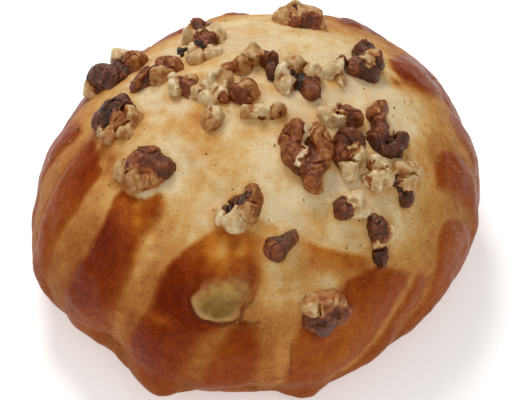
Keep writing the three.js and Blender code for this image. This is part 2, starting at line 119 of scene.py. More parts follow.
# Tongues of the far side, all alike: drop of the tip, azimuth at the tip and at the belt. Then
# their half-width in degrees, where their rows lie from tip to belt, softness and browning.
FAR_TONGUES = ((0.46, 58, 54), (0.5, 78, 73), (0.48, 98, 96), (0.46, 118, 120), (0.5, 138, 143),
               (0.48, 156, 163))
FAR_TONGUE_HALF = 7.0
FAR_TONGUE_RUNS = (0.12, 0.4, 1.0, 1.6)
FAR_TONGUE_SOFTNESS = (2.0, 3.0)
FAR_TONGUE_DEPTH = 0.85

# Softness of every edge and what the lower left flank adds to it, rise of the tongues and depth
# of the creases between them, in millimetres.
EDGE_SOFTNESS = 0.7
LOW_EDGE_SOFTNESS = 1.4
TONGUE_RISE = 0.7
CREASE_DEPTH = 0.25

# Azimuths over which the left flank passes into the front.
FRONT_START = (236.0, 244.0)

# Irregular waves, each with its height, its width in millimetres and its seed: of the tongues'
# edges and rows, the pocket's rim, mask and upper end, the creases, the toast and its patches.
EDGE_WAVES = ((0.3, 12.0, 11), (0.1, 2.6, 12))
ROW_WAVES = ((0.004, 6.0, 13),)
RIM_WAVES = ((0.3, 4.5, 21),)
POCKET_WAVES = ((0.1, 2.0, 23),)
POCKET_TOP_WAVES = ((1.5, 3.0, 22),)
CREASE_WAVES = ((0.3, 4.0, 31),)
TOAST_WAVES = ((0.06, 11.0, 42), (0.04, 4.5, 43))
PATCH_WAVES = ((0.35, 5.0, 41),)

# Broad swells and hollows of the dough: azimuth, drop, reach across and along, rise.
SWELLS = (
    (231, 1.12, 13, 20, -5.2),
    (226, 1.45, 10, 14, -2.0),
    (246, 1.3, 9, 12, 2.9),
    (265, 1.35, 12, 16, -3.4),
    (282, 1.45, 8, 11, 2.6),
    (300, 1.45, 9, 12, -1.3),
    (311, 0.98, 14, 18, -2.2),
    (322, 1.35, 11, 14, -0.8),
    (22, 0.75, 24, 22, -1.3),
    (168, 0.75, 20, 18, -1.0),
    (183, 1.0, 15, 18, -0.6),
    (203, 0.95, 10, 14, 1.0),
    (125, 0.55, 14, 16, -1.1),
    (86, 0.6, 12, 18, -1.3),
    (283, 0.62, 14, 8, 0.7),
    (320, 0.5, 16, 10, 0.6),
    (205, 0.35, 12, 10, 0.7),
    (130, 1.1, 18, 14, 0.8),
)

# Drop at which the pale crown ends, by azimuth.
CROWN_EDGE = (
    (0, 0.5), (13, 0.46), (35, 0.43), (49, 0.38), (90, 0.45), (130, 0.46), (165, 0.48),
    (197, 0.47), (217, 0.49), (229, 0.43), (238, 0.41), (246, 0.43), (262, 0.46), (273, 0.54),
    (289, 0.6), (304, 0.63), (319, 0.66), (332, 0.64), (348, 0.56), (360, 0.5),
)

# Toast of the paler crust between the tongues, by azimuth.
FLANK_TOAST = (
    (0, 0.46), (20, 0.5), (60, 0.62), (150, 0.62), (180, 0.52), (200, 0.58), (240, 0.62), (258, 0.6),
    (273, 0.48), (300, 0.44), (322, 0.45), (336, 0.52), (345, 0.54), (360, 0.5),
)

# Toast of the crown, the foot and the tongues' feet, painted shade that a kernel's collar adds round
# its foot, and how far a blush takes the tongues' colour.
CROWN_TOAST = 0.1
FOOT_TOAST = 0.67
TONGUE_FOOT_TOAST = 0.73
COLLAR_SHADE = 0.1
BLUSH_SHARE = 0.9

# Golden and pale patches of the crust: azimuth, drop, reach across and along, change of toast.
PATCHES = (
    (190, 0.46, 12, 4, 0.2), (221, 0.46, 11, 4, 0.28), (230, 0.455, 6, 6, -0.48),
    (205, 0.25, 14, 6, 0.12), (205, 0.35, 9, 6, 0.14),
    (14, 0.41, 2.2, 1.5, 0.4), (18, 0.46, 4, 4, 0.18), (349, 0.55, 9, 5, 0.12),
    (204, 0.56, 7, 6, 0.1), (224, 0.58, 5, 12, 0.06), (248, 0.68, 5, 9, 0.08),
    (263, 0.52, 7, 4.5, -0.2), (247, 0.77, 4, 1.8, -0.2),
    (315, 0.645, 4, 3, -0.12), (288, 0.68, 5, 4, -0.32), (278, 0.57, 6, 5, -0.1),
    (290, 0.95, 12, 16, -0.1), (227, 0.385, 9, 8, -0.42), (286, 0.585, 4, 5, 0.16),
    (275, 0.98, 1.6, 12, -0.1), (261, 0.5, 12, 8, -0.26), (258, 0.56, 8, 6, -0.12),
    (238, 0.56, 6, 12, -0.24), (282, 0.66, 6, 5, -0.08), (199, 0.42, 6, 5, 0.12),
    (236.5, 0.94, 3, 14, -0.1), (187, 0.28, 9, 5, -0.16), (20, 0.24, 20, 8, -0.1),
    (266, 0.29, 8, 6, 0.06), (355, 0.42, 12, 8, -0.1), (280, 0.3, 16, 8, -0.08),
    (223, 0.495, 7, 6, -0.28), (236, 0.45, 4, 6, 0.3), (224, 0.452, 9, 3, 0.26),
    (244, 0.34, 8, 6, 0.16), (233, 0.25, 10, 6, 0.16), (338, 0.55, 7, 6, 0.1),
    (265, 0.49, 5, 5, -0.08), (274, 0.68, 4, 4, -0.2), (281, 0.69, 5, 4, -0.26),
    (282, 0.6, 4, 4, 0.14), (269, 0.565, 3, 5, 0.2), (273, 0.86, 4, 12, 0.08),
)

# Blushes of gold below a crisp edge: azimuth and drop of the edge's ends, run down, change of toast.
BLUSHES = (
    (284, 0.515, 303, 0.64, 0.075, 0.34),
    (256, 0.44, 269, 0.42, 0.05, 0.1),
    (268, 0.42, 277, 0.46, 0.06, 0.2),
)

# Creases and ridges of the crust: azimuth and drop of both ends, half-width, depth, which is
# below 0 for a ridge, and darkness of the shade painted into a crease.
CREASES = (
    (257, 0.747, 270, 0.752, 0.6, 0.5, 0.8),
    (277.8, 0.84, 277.4, 1.02, 0.4, 0.3, 0.8),
    (322, 0.88, 318, 0.98, 0.4, 0.3, 0.6),
    (205, 0.262, 232, 0.276, 1.0, -0.4, 0.0),
    (232, 0.276, 250, 0.33, 1.0, -0.4, 0.0),
    (250, 0.33, 257, 0.37, 0.8, -0.3, 0.0),
    (290, 0.52, 303, 0.64, 0.7, -0.35, 0.0),
)

# Blistered pocket on the front flank: its middle, its outline as millimetres across and down
# the slope from there, the bulge, the crease under its lower lip, and how strongly the lip is
# coloured and how dark the shade painted into all creases is.
POCKET_AZIMUTH = 261.0
POCKET_DROP = 0.665
POCKET_OUTLINE = (
    (-7.9, 1.3), (-6.4, 4.8), (-4.0, 6.6), (0.0, 7.5), (3.0, 7.0), (5.0, 3.1), (7.4, -1.3),
    (8.4, -5.7), (8.9, -8.4), (3.0, -7.9), (-1.0, -7.0), (-4.0, -5.7), (-6.4, -2.2),
)
POCKET_RISE = 1.9
POCKET_CREASE = 0.5
LIP_STRENGTH = 0.6
CREASE_SHADE_STRENGTH = 0.8

# Baked crust by toast: the paler skin from cream to tan, and the tongues from gold to brown.
PALE_STOPS = (
    (0.0, (231, 207, 162)), (0.15, (219, 181, 121)), (0.3, (208, 155, 86)), (0.45, (190, 128, 66)),
    (0.6, (163, 98, 44)), (0.75, (139, 72, 24)), (1.0, (110, 46, 12)),
)
TONGUE_STOPS = (
    (0.0, (214, 160, 84)), (0.45, (191, 113, 34)), (0.6, (167, 87, 20)), (0.75, (148, 64, 12)),
    (0.9, (126, 43, 2)), (1.0, (104, 29, 0)),
)

# Walnut by roast, from broken flesh over brown skin to burnt.
KERNEL_STOPS = (
    (0.0, (236, 214, 172)), (0.12, (216, 184, 134)), (0.28, (190, 142, 82)), (0.42, (168, 96, 40)),
    (0.56, (136, 64, 24)), (0.70, (102, 44, 20)), (0.84, (76, 33, 15)), (1.0, (40, 19, 12)),
)

# Shine of a material that has none of its own.
PLAIN_SHINE = {"Specular IOR Level": 0.12, "Specular Tint": (1.0, 0.8, 0.55, 1.0)}

# Finish of the crust: size of its mottle, shine, roughness where pale and where brown, what
# freckles add to it, glaze all over and more of it on the tongues, strength and depth of bump.
CRUST_MOTTLE = {"Cloud Size": 12 * MM, "Freckle Size": 2.2 * MM, "Grain Size": 0.5 * MM}
CRUST_SHINE = {"Specular IOR Level": 0.05, "Coat Roughness": 0.2, "Coat IOR": 1.2}
CRUST_ROUGHNESS = (0.56, 0.46)
CRUST_FRECKLE_ROUGHNESS = 0.14
GLAZE = 0.06
TONGUE_GLAZE = 0.3
CRUST_BUMP = (0.85, 0.25 * MM)

# Finish of the walnut: size of its mottle, shine, roughness of flesh and of skin, what freckles
# add to it, strength and depth of bump, and what raises the roast, with painted shade that darkens
# creases and painted light that lightens ridges.
KERNEL_MOTTLE = {"Cloud Size": 3.2 * MM, "Freckle Size": 0.9 * MM, "Grain Size": 0.35 * MM}
KERNEL_SHINE = {"Specular IOR Level": 0.5, "Specular Tint": (1.0, 0.88, 0.7, 1.0)}
KERNEL_ROUGHNESS = (0.3, 0.1)
KERNEL_FRECKLE_ROUGHNESS = 0.3
KERNEL_BUMP = (0.8, 0.3 * MM)
ROAST_CLOUDS = 0.5
ROAST_FRECKLES = 0.34
ROAST_RIM = 0.16
HOLLOW_SHADE = 0.22
ROAST_BASE = 0.08

# How sharply a kernel's lobes part, how far its skin draws in where they melt together, and how
# steep the field of its lobes is at the skin.
LOBE_PARTING = 1.3
LOBE_SHRINK = 0.2
FIELD_SLOPE = 0.87

# Broken faces: how many cut a pale lobe, how far out they lie as a share of the lobe, their least
# and greatest lean in radians, their first seed, and the roast from which a lobe still has its
# skin and no such face.
PALE_FACES = 2
FACE_DEPTH = 0.9
FACE_LEAN = (0.2, 1.0)
FACE_SEED = 70
SKIN_ROAST = 0.36

# Hollows between the folds, which get painted shade: rounds of smoothing that find them, and the
# depth of a full one.
HOLLOW_ROUNDS = 10
HOLLOW_DEPTH = 0.3

# Irregular waves that bend a kernel's form, folds and roast: height and width in millimetres,
# first seed and seeds for each kernel.
FORM_WARP = ((0.5, 6.0, 50, 7), (0.14, 2.6, 250, 7))
FOLD_WARP = ((0.8, 6.0, 900, 5),)
ROAST_WARP = ((0.5, 3.2, 300, 5), (0.28, 1.2, 600, 5))

# Folds of the brown skin: spacing, half-width of the valleys as a share of a wave, first seed
# and strength. Then the share of them on pale flesh, and the smoothing of a finished kernel.
SKIN_FOLDS = ((7.5, 0.17, 700, 1.0), (3.6, 0.14, 800, 0.45))
FLESH_FOLDS = 0.25
SOFTEN_FACTOR = 0.5
SOFTEN_ROUNDS = 2

# How sharply roast changes from lobe to lobe, the spread of roast that makes a full rim, room
# round the lobes in a kernel's grid, how far apart kernels can still touch, and how far out they
# may sit as a share of the belt's radius.
ROAST_PARTING = 4.8
RIM_SPREAD = 0.22
GRID_ROOM = 2.0
TOUCHING_REACH = 30.0
FARTHEST_OUT = 0.995

# Collar of dough round a kernel, in millimetres: where it starts to fall, its width, the farthest
# distance that is measured, the reach of a whole kernel, and the drop where collars end.
COLLAR_START = 0.2
COLLAR_WIDTH = 1.1
COLLAR_LIMIT = 6.0
KERNEL_REACH = 26.0
COLLAR_END = 1.2

# Walnut kernels, back to front: place on the loaf, arms of lobes as right, upslope, radius,
# height and roast, a broken face as turn, lean and distance, round marks of another roast as
# right, upslope, radius and roast, and veins of one as points, half-width and roast.
KERNELS = (
    {"place": (10.8, 33), "face": (-90, 42, 4.6),
     "arms": (((-2.7, 0.6, 4.1, 6, 0.24), (1.6, 0, 4.6, 6.4, 0.14), (5.6, -0.8, 3.5, 5.2, 0.26)),),
     "marks": ((-1, -4.4, 1.6, 0.6), (2.6, -4.6, 2.4, 0.62), (5.8, -4, 2, 0.6), (-0.6, -1.4, 0.7, 0.8))},
    {"place": (-15.5, 20),
     "arms": (((0, 6, 4.2, 5.9, 0.62), (-3.7, 3.6, 2.8, 5, 0.14), (3.8, 2, 3.2, 5.4, 0.1),
               (1.2, -2.4, 3, 4.6, 0.6)),
              ((1.2, -2.4, 3, 4.6, 0.6), (-2.6, -5, 3, 4, 0.1), (-1.8, -8.6, 2.7, 3, 0.2),
               (3, -6.6, 2.8, 3.2, 0.12))),
     "marks": ((-0.2, 2.2, 1.2, 0.08), (-0.2, -4.6, 1.4, 1.0))},
    {"place": (-40.7, 15.8),
     "arms": (((7.4, 0.8, 3.5, 5.4, 0.45), (0, -1.2, 4.6, 6, 0.74), (3, 6, 3.6, 7.4, 0.06)),
              ((0, -1.2, 4.6, 6, 0.74), (-4, 2.6, 4, 5.6, 0.78), (-6.8, 7, 3.4, 5.2, 0.2),
               (-8, 1.6, 3.2, 3.8, 0.14)))},
    {"place": (-28, 6),
     "arms": (((-6, -1, 2.5, 3.4, 0.58), (-2.8, 0.8, 3, 5, 0.6), (1.4, -0.8, 3.2, 5, 0.32),
               (2.4, 3.8, 3, 5.6, 0.5), (5.6, 3.4, 2.6, 4.4, 0.45)),)},
    {"place": (-20.3, -1.2),
     "arms": (((-1.8, 3.2, 2.3, 5.6, 0.05), (-2.2, -1.2, 2.5, 5.2, 0.06), (1.8, -1.2, 2.7, 4.8, 0.58),
               (2.4, 3.6, 2.2, 3.4, 0.25)),)},
    {"place": (-12, -3.4),
     "arms": (((-0.6, 1.4, 3.4, 5.6, 0.1), (3.6, 4, 2.4, 4, 0.22), (-4.2, -0.8, 2.4, 3.4, 0.2),
               (-1.2, -3.6, 2.4, 3.4, 0.1), (2.4, -3, 2.7, 4, 0.12)),),
     "marks": ((3.2, -4.8, 1.6, 0.6),)},
    {"place": (-3.6, -6),
     "arms": (((-3, 0.8, 2.8, 4.4, 0.58), (1.2, 1.5, 3.3, 5, 0.38), (-1, -1.4, 2.6, 3.6, 0.6)),)},
    {"place": (-2, 5.5),
     "arms": (((-6, 0.2, 1.9, 3, 0.4), (-2.4, -1.4, 2.6, 5, 0.32), (0.6, 3.2, 3.4, 7, 0.2)),
              ((0.6, 3.2, 3.4, 7, 0.24), (5.4, 0.8, 2.7, 6, 0.66), (6.2, -4.4, 2.4, 4.4, 0.8))),
     "marks": ((2, -1.2, 1.7, 0.82),)},
    # This kernel's low middle lobe and its burnt round mark are painted dark as shade in its central pit.
    {"place": (10.5, 0), "face": (-90, 62, 5.4),
     "arms": (((-3.6, -3.2, 2.5, 5, 0.1), (-4.2, 0, 3.1, 6.2, 0.1), (-0.6, 4, 3.2, 7, 0.22),
               (0.2, -1.2, 3, 3.2, 0.84)),
              ((-0.6, 4, 3.2, 7, 0.22), (4.2, 1.6, 3.2, 6.4, 0.14), (3.8, -4.2, 3.3, 5, 0.58),
               (0.2, -1.2, 3, 3.2, 0.84))),
     "marks": ((-1.4, 0.2, 1.1, 1.0), (-2.6, 2, 1.6, 0.12))},
    {"place": (20.8, 4),
     "arms": (((0, 1.2, 3.2, 5, 0.12), (-2.6, 1, 2, 3.8, 0.12), (1.4, -1.6, 2.4, 3.2, 0.22),
               (1.8, 4.8, 2.3, 4.8, 0.62)),)},
    {"place": (29.5, 10.5), "face": (-60, 55, 5),
     "arms": (((-0.6, 6.4, 3.2, 6.4, 0.72), (2.6, 2.8, 3.4, 6.2, 0.64), (-3.6, -1.6, 3, 5, 0.6),
               (-0.6, -0.4, 3.4, 6, 0.82), (2.4, -2, 2.3, 4, 0.8)),),
     "marks": ((-0.4, -1, 2.0, 0.16), (0.6, 1.6, 1.8, 0.2))},
    {"place": (-12.3, -15.2),
     "arms": (((-1.2, 2.2, 2.6, 3.6, 0.24), (1.5, 2.2, 2.5, 4, 0.16), (-0.6, -1.4, 2.5, 3, 0.34)),)},
    {"place": (1, -13.6), "face": (-90, 78, 2.9),
     "arms": (((-4.2, 1.4, 2.3, 3.3, 0.3), (-0.4, 1.2, 2.6, 3.4, 0.1), (4.2, 1.6, 2.5, 3.7, 0.32)),),
     "veins": ((((-2, -1.4), (2, -1), (5.8, -0.4)), 0.4, 0.8),)},
    {"place": (13, -24.5),
     "arms": (((-3.6, 7.2, 2.9, 6, 0.5), (-4.8, 3.2, 3, 6.4, 0.52), (-4.7, -1.2, 2.9, 5.8, 0.55),
               (-1, 5, 2.8, 4.8, 0.6), (-1, -1.2, 3.2, 4.9, 0.62), (-1.6, -4.2, 2.6, 4.6, 0.6)),
              ((2.2, 7, 3, 6, 0.46), (3.4, 3, 3.3, 6.8, 0.42), (3, -1, 3.4, 6.6, 0.48),
               (0.6, -5, 3.5, 5.6, 0.58), (1.2, -8.4, 2.8, 4, 0.42), (0, 2.6, 2.4, 4.6, 0.6))),
     "veins": ((((-0.3, 8.6), (-0.9, 5.4), (-1.4, 2.2), (-1.7, -0.6), (-3.4, -4.4)), 0.8, 0.0),)},
    {"place": (22.6, -11.4),
     "arms": (((-4.6, 0.8, 2.8, 4.4, 0.12), (-2, -1.4, 2.6, 4, 0.1), (0.2, 1.4, 2.8, 5.4, 0.52),
               (3.6, 0.4, 2.8, 4.6, 0.58)),)},
    {"place": (24.4, -22.6), "face": (-15, 40, 4.2),
     "arms": (((-1.8, 4.8, 3.2, 6, 0.66), (1.4, 4.4, 2.7, 5.2, 0.64), (-3.4, -0.8, 2.8, 5, 0.6),
               (1.4, -0.4, 3.2, 5.6, 0.12), (-0.8, -4.6, 3, 4.4, 0.14)),)},
    {"place": (35, -13.5),
     "arms": (((-3.7, 8, 2.7, 5.2, 0.5), (-3.6, 4.6, 3, 5.6, 0.5), (-4.4, -0.8, 2.8, 5, 0.68),
               (-2.4, -4.4, 2.6, 4.6, 0.8), (-0.8, 1, 2.4, 3, 0.12)),
              ((-2.4, -4.4, 2.6, 4.6, 0.8), (1.2, -4.2, 2.7, 4.6, 0.8), (3.4, 0.2, 2.5, 4.4, 0.72)))},
    {"place": (31.6, -27.5),
     "arms": (((-1, 4.6, 3.5, 5, 0.08), (-2, 0.2, 3.2, 4.6, 0.1), (0.8, 0.8, 2.9, 4.8, 0.15)),),
     "marks": ((-3.6, 4, 1, 0.55),),
     "veins": ((((-2.6, 2.6), (-0.4, 2.2), (1.6, 3)), 0.4, 0.5), (((-4.6, 0.8), (-3, -2.4)), 0.5, 0.5))},
    {"place": (39.8, -25.8),
     "arms": (((-3.4, 4.4, 3.1, 4.8, 0.2), (0.8, 4.8, 3.2, 5, 0.25), (-1.8, 0.8, 3.4, 5, 0.18),
               (-1.4, -3.2, 2.3, 3.4, 0.75)),),
     "veins": ((((-5.4, 2.4), (-4, -1.2), (-1.6, -2.4), (1.4, -1), (3.4, 2)), 0.5, 0.84),)},
    {"place": (24.2, -38),
     "arms": (((-2.8, 1.4, 2.8, 4.4, 0.68), (1.4, 2.2, 3.4, 4.8, 0.08), (-0.4, 3.8, 2.5, 4, 0.08)),)},
    {"place": (31.7, -42),
     "arms": (((-1.6, 5.2, 3.2, 5, 0.72), (1.4, 5, 2.6, 4.2, 0.16), (-0.6, 1.4, 2.9, 3.2, 0.25),
               (0, -2, 2.3, 3.4, 0.8), (0.2, -3.8, 1.5, 2.4, 0.82)),)},
    {"place": (5.6, -49.7),
     "arms": (((-2.2, 1.8, 2.6, 4, 0.64), (0.4, 3, 2.8, 4.4, 0.74), (2.8, 4.4, 2.1, 3.8, 0.7),
               (-0.5, 0, 1.8, 2.8, 0.74)),)},
    {"place": (-5.2, -41),
     "arms": (((-1.4, -1.8, 4, 4.4, 0.1), (-3.8, -0.8, 2.8, 3.6, 0.12), (0.4, 2.6, 2.8, 3.8, 0.7),
               (3, 0.6, 3.3, 4.6, 0.28), (4, 4.6, 2.7, 4.6, 0.42), (3.6, 7.2, 2, 3.4, 0.5)),),
     "marks": ((5.2, 0.4, 1.8, 0.5), (-3.4, 2, 0.8, 0.8)),
     "veins": ((((-2.8, 0.6), (0.4, 2.8), (2.4, 5)), 1.3, 0.78),)},
    {"place": (16.8, -57.4),
     "arms": (((-4, 2.4, 3, 4.6, 0.24), (-0.2, 2.8, 3, 5.2, 0.36), (3.2, 3.2, 2.8, 4.6, 0.44),
               (4.8, -0.6, 3, 5, 0.54), (0.6, -0.6, 3, 4.4, 0.6), (-0.8, -3.4, 3, 4.4, 0.74),
               (-3.8, -2.4, 2.4, 3.6, 0.62), (-0.4, -5.8, 2, 3, 0.74)),)},
    {"place": (-30.6, -26.4),
     "arms": (((2.8, 3.6, 3.5, 6.4, 0.62), (6.6, -0.2, 3, 4.8, 0.66), (-0.8, 1.6, 3.2, 5.4, 0.46),
               (-5.4, 0.8, 3.2, 4.2, 0.24), (-0.8, -2.8, 3.4, 4.8, 0.34), (2.8, -3.2, 2.9, 4, 0.36)),),
     "marks": ((-2.2, 0.4, 1.2, 0.6),)},
    {"place": (-38.4, -9.6),
     "arms": (((-0.2, 5, 3.4, 6.4, 0.84), (3.4, 5.2, 2.9, 5.8, 0.76), (-3.8, 2.8, 3.2, 5.4, 0.74),
               (2, 0.8, 3, 4.4, 0.42), (5.8, 1.6, 2.7, 4.8, 0.28), (3, -3, 2.6, 3.4, 0.25),
               (-2.2, -3.2, 2.9, 3.8, 0.35)),),
     "marks": ((-1.6, 0, 1.2, 0.85), (-5, -0.6, 1.2, 0.1))},
    {"place": (14, 65.5),
     "arms": (((-4, 0, 3, 4.4, 0.5), (0, 1.6, 3.2, 5, 0.55), (4, -0.6, 3, 4.6, 0.5),
               (0, -2.8, 2.7, 3.8, 0.6)),)},
    {"place": (-43.5, 43.5),
     "arms": (((-2.6, 0.4, 2.9, 4.2, 0.1), (1.8, 0, 3.1, 4.6, 0.2)),)},
)
TONES = {"walnut_pale": "pale walnut", "walnut_brown": "brown walnut", "walnut_dark": "dark walnut"}

# Burnt crumbs that show one by one: azimuth, drop, size.
BURNT_CRUMBS = (
    (241, 0.262, 0.63), (281, 0.222, 0.56), (288, 0.406, 0.63), (230, 0.302, 0.49), (215, 0.518, 0.56),
    (204, 0.374, 0.56), (358, 0.398, 0.63), (297, 0.586, 0.56), (259, 0.35, 0.49), (262, 0.438, 0.49),
    (181, 0.57, 0.84), (141, 0.292, 2.6), (144, 0.275, 2.0), (137, 0.3, 1.6),
)

# Form of a crumb: least and greatest half-widths as shares of its size, and its greatest turn.
CRUMB_WIDTHS = ((0.35, 0.3, 0.25), (0.65, 0.5, 0.4))
CRUMB_TURN = (6.28, 6.28, 6.28)

# Strewn crumbs: least and greatest size in millimetres, the roast of pale and burnt ones, how far
# they stand out as a share of their size, where tiny pale grains that paint glints gather as
# azimuth and drop with the reach of both, and the shares of these glint grains elsewhere on the
# crown and of crumbs away from kernels.
CRUMB_SIZES = (0.35, 0.9)
SPECK_SIZES = (0.3, 0.6)
PALE_ROAST = (0.0, 0.3)
BURNT_ROAST = (0.72, 0.98)
CRUMB_RISE = 0.2
GLINT_PLACE = (335.0, 0.62)
GLINT_REACH = (30.0, 0.2)
CROWN_GLINTS = 0.02
OPEN_CRUMBS = 0.12

# Fixed seeds of the skin's unevenness, the strewing and the crumbs' turns, and the step of the
# seed from kernel to kernel.
SKIN_SEED = 3.7
STREWING_SEED = 17
CRUMB_SEED = 5
GRIT_SEED_STEP = 0.37

# Stage, in metres: half the table and its roughness, the film's width in millimetres, the nearest
# distance that is seen, the colour of the even light, the point that the lights face, and each
# light's name, place, size and setting for its power.
TABLE_HALF = 3.0
TABLE_ROUGHNESS = 0.7
SENSOR_WIDTH = 36.0
NEAREST_SEEN = 0.01
SKY_COLOUR = (1.0, 0.99, 0.97, 1.0)
LIT_PLACE = (0.0, 0.0, 0.03)
LIGHTS = (
    ("key light", (-0.12, 0.34, 0.62), 0.22, "key_power"),
    ("side light", (-0.6, -0.15, 0.4), 0.4, "fill_power"),
    ("front light", (0.12, -0.5, 0.5), 0.6, "front_power"),
)


def smoothstep(value, low, high):
    """Eased share of the way from low to high."""
    share = np.clip((value - low) / (high - low), 0.0, 1.0)
    return share * share * (3.0 - 2.0 * share)


def turn_between(start, end):
    """Shortest signed angle between azimuths, in degrees."""
    return (np.asarray(end) - start + 180.0) % 360.0 - 180.0


def ripple(points, size, seed):
    """Smooth irregular waves over points, mostly from -1 to 1."""
    maker = np.random.default_rng(seed)
    ways = maker.normal(size=(9, 3))
    ways /= np.linalg.norm(ways, axis=1, keepdims=True)
    ways *= 2 * math.pi / (size * maker.uniform(0.7, 1.5, (9, 1)))
    phases = maker.uniform(0, 2 * math.pi, 9)
    return np.sin(points @ ways.T + phases).sum(axis=-1) / 3


def waves(points, rows):
    """Sum of irregular waves over points."""
    return sum(height * ripple(points, size, seed) for height, size, seed in rows)


def mixed(first, second, share):
    """Value part of the way from one to another."""
    return first * (1 - share) + second * share


def srgb(red, green, blue):
    """Linear colour of an 8-bit colour."""
    shares = [channel / 255.0 for channel in (red, green, blue)]
    return tuple(s / 12.92 if s <= 0.04045 else ((s + 0.055) / 1.055) ** 2.4 for s in shares)


def rgba(colour):
    """Colour with full opacity."""
    return (*colour[:3], 1.0)


class Wiring:
    """Adds nodes to a tree and joins them."""

    def __init__(self, tree):
        self.tree = tree

    def feed(self, socket, value):
        """Joins a socket to another one, or sets its value."""
        if isinstance(value, bpy.types.NodeSocket):
            self.tree.links.new(value, socket)
        else:
            socket.default_value = value

    def feed_all(self, node, inputs):
        """Joins or sets several inputs of a node."""
        for key, value in inputs.items():
            self.feed(node.inputs[key], value)

    def node(self, kind, inputs=None, **settings):
        """Makes a node with its settings and inputs."""
        made = self.tree.nodes.new(kind)
        for name, value in settings.items():
            setattr(made, name, value)
        self.feed_all(made, inputs or {})
        return made

    def math(self, operation, *values):
        """One number from others."""
        made = self.node("ShaderNodeMath", operation=operation)
        for socket, value in zip(made.inputs, values):
            self.feed(socket, value)
        return made.outputs[0]

    def total(self, first, *others):
        """Sum of numbers."""
        for other in others:
            first = self.math("ADD", first, other)
        return first

    def product(self, first, *others):
        """Product of numbers."""
        for other in others:
            first = self.math("MULTIPLY", first, other)
        return first

    def swing(self, value, reach):
        """A noise from 0 to 1, centred on 0 and scaled to a reach."""
        return self.product(self.math("SUBTRACT", value, 0.5), reach)

    def vector(self, x=0.0, y=0.0, z=0.0):
        """One vector from three numbers."""
        return self.node("ShaderNodeCombineXYZ", {0: x, 1: y, 2: z}).outputs[0]

    def shifted(self, place, shift):
        """Sum of two vectors."""
        return self.node("ShaderNodeVectorMath", {0: place, 1: shift}, operation="ADD").outputs[0]

    def scaled(self, vector, share):
        """A vector times a number."""
        made = self.node("ShaderNodeVectorMath", {0: vector, "Scale": share}, operation="SCALE")
        return made.outputs[0]

    def ease(self, value, low, high, start=0.0, end=1.0):
        """Eased step from start to end as a value goes from low to high."""
        made = self.node("ShaderNodeMapRange", {0: value, 1: low, 2: high, 3: start, 4: end},
                         interpolation_type="SMOOTHSTEP")
        return made.outputs[0]

    def blend(self, share, first, second):
        """Mix of two colours."""
        made = self.node("ShaderNodeMix", {0: share, 6: first, 7: second}, data_type="RGBA")
        return made.outputs[2]

    def choose(self, share, first, second):
        """Mix of two numbers."""
        made = self.node("ShaderNodeMix", {0: share, 2: first, 3: second}, data_type="FLOAT")
        return made.outputs[0]

    def noise(self, place, size, detail=2.0, roughness=0.5, distortion=0.0):
        """Cloudy noise from 0 to 1, with clouds of a size."""
        made = self.node("ShaderNodeTexNoise", {
            "Vector": place, "Scale": self.math("DIVIDE", 1.0, size), "Detail": detail,
            "Roughness": roughness, "Distortion": distortion})
        return made.outputs[0]

    def ramp(self, value, stops):
        """Colour along a row of 8-bit stops."""
        made = self.node("ShaderNodeValToRGB", {0: value})
        elements = made.color_ramp.elements
        while len(elements) < len(stops):
            elements.new(1.0)
        for element, (place, colour) in zip(elements, stops):
            element.position = place
            element.color = rgba(srgb(*colour))
        return made.outputs[0]

    def attribute(self, name):
        """A number stored on the mesh, in a shader."""
        return self.node("ShaderNodeAttribute", attribute_name=name).outputs["Fac"]

    def stored(self, name):
        """A number stored on the mesh, in a geometry tree."""
        made = self.node("GeometryNodeInputNamedAttribute", {"Name": name}, data_type="FLOAT")
        return made.outputs[0]

    def pushed(self, geometry, lift):
        """Geometry moved along its normals."""
        normal = self.node("GeometryNodeInputNormal").outputs[0]
        made = self.node("GeometryNodeSetPosition", {
            "Geometry": geometry, "Offset": self.scaled(normal, lift)})
        return made.outputs[0]

    def placed(self, geometry, place):
        """Geometry with its points set at a place."""
        made = self.node("GeometryNodeSetPosition", {"Geometry": geometry, "Position": place})
        return made.outputs[0]


def new_tree(name, kind, inputs, outputs):
    """Node tree with named inputs and outputs of given kinds; gives its wiring and both ends."""
    tree = bpy.data.node_groups.new(name, kind)
    for way, sockets in (("INPUT", inputs), ("OUTPUT", outputs)):
        for label, socket in sockets.items():
            tree.interface.new_socket(label, in_out=way, socket_type="NodeSocket" + socket)
    wires = Wiring(tree)
    return wires, wires.node("NodeGroupInput").outputs, wires.node("NodeGroupOutput").inputs


def new_geometry_tree(name, sizes, **others):
    """Geometry tree with its sizes, a material and other inputs."""
    inputs = {"Geometry": "Geometry", **dict.fromkeys(sizes, "Float"), **others, "Material": "Material"}
    return new_tree(name, "GeometryNodeTree", inputs, {"Geometry": "Geometry"})


def apply_tree(piece, tree, values):
    """Runs a geometry tree on a piece and keeps its result as a plain mesh."""
    modifier = piece.modifiers.new(tree.name, "NODES")
    modifier.node_group = tree
    for item in tree.interface.items_tree:
        if item.item_type == "SOCKET" and item.in_out == "INPUT" and item.name in values:
            modifier[item.identifier] = values[item.name]
    bake(piece)


def bake(piece):
    """Turns a piece's modifiers into its mesh."""
    graph = bpy.context.evaluated_depsgraph_get()
    result = piece.evaluated_get(graph)
    mesh = bpy.data.meshes.new_from_object(result, preserve_all_data_layers=True, depsgraph=graph)
    old = piece.data
    piece.modifiers.clear()
    piece.data = mesh
    mesh.name = piece.name
    if old.users == 0:
        bpy.data.meshes.remove(old)


def new_piece(name, mesh):
    """Object for a mesh, in the scene."""
    piece = bpy.data.objects.new(name, mesh)
    bpy.context.scene.collection.objects.link(piece)
    return piece


def set_numbers(mesh, numbers):
    """Stores named numbers at each point of a mesh."""
    for name, values in numbers.items():
        layer = mesh.attributes.new(name, "FLOAT", "POINT")
        layer.data.foreach_set("value", np.asarray(values, dtype=np.float32))


def numbers_of(collection, name, width):
    """Numbers kept by each item of a mesh, as rows."""
    flat = np.empty(len(collection) * width, dtype=np.float32)
    collection.foreach_get(name, flat)
    return flat.reshape(-1, width).astype(float)


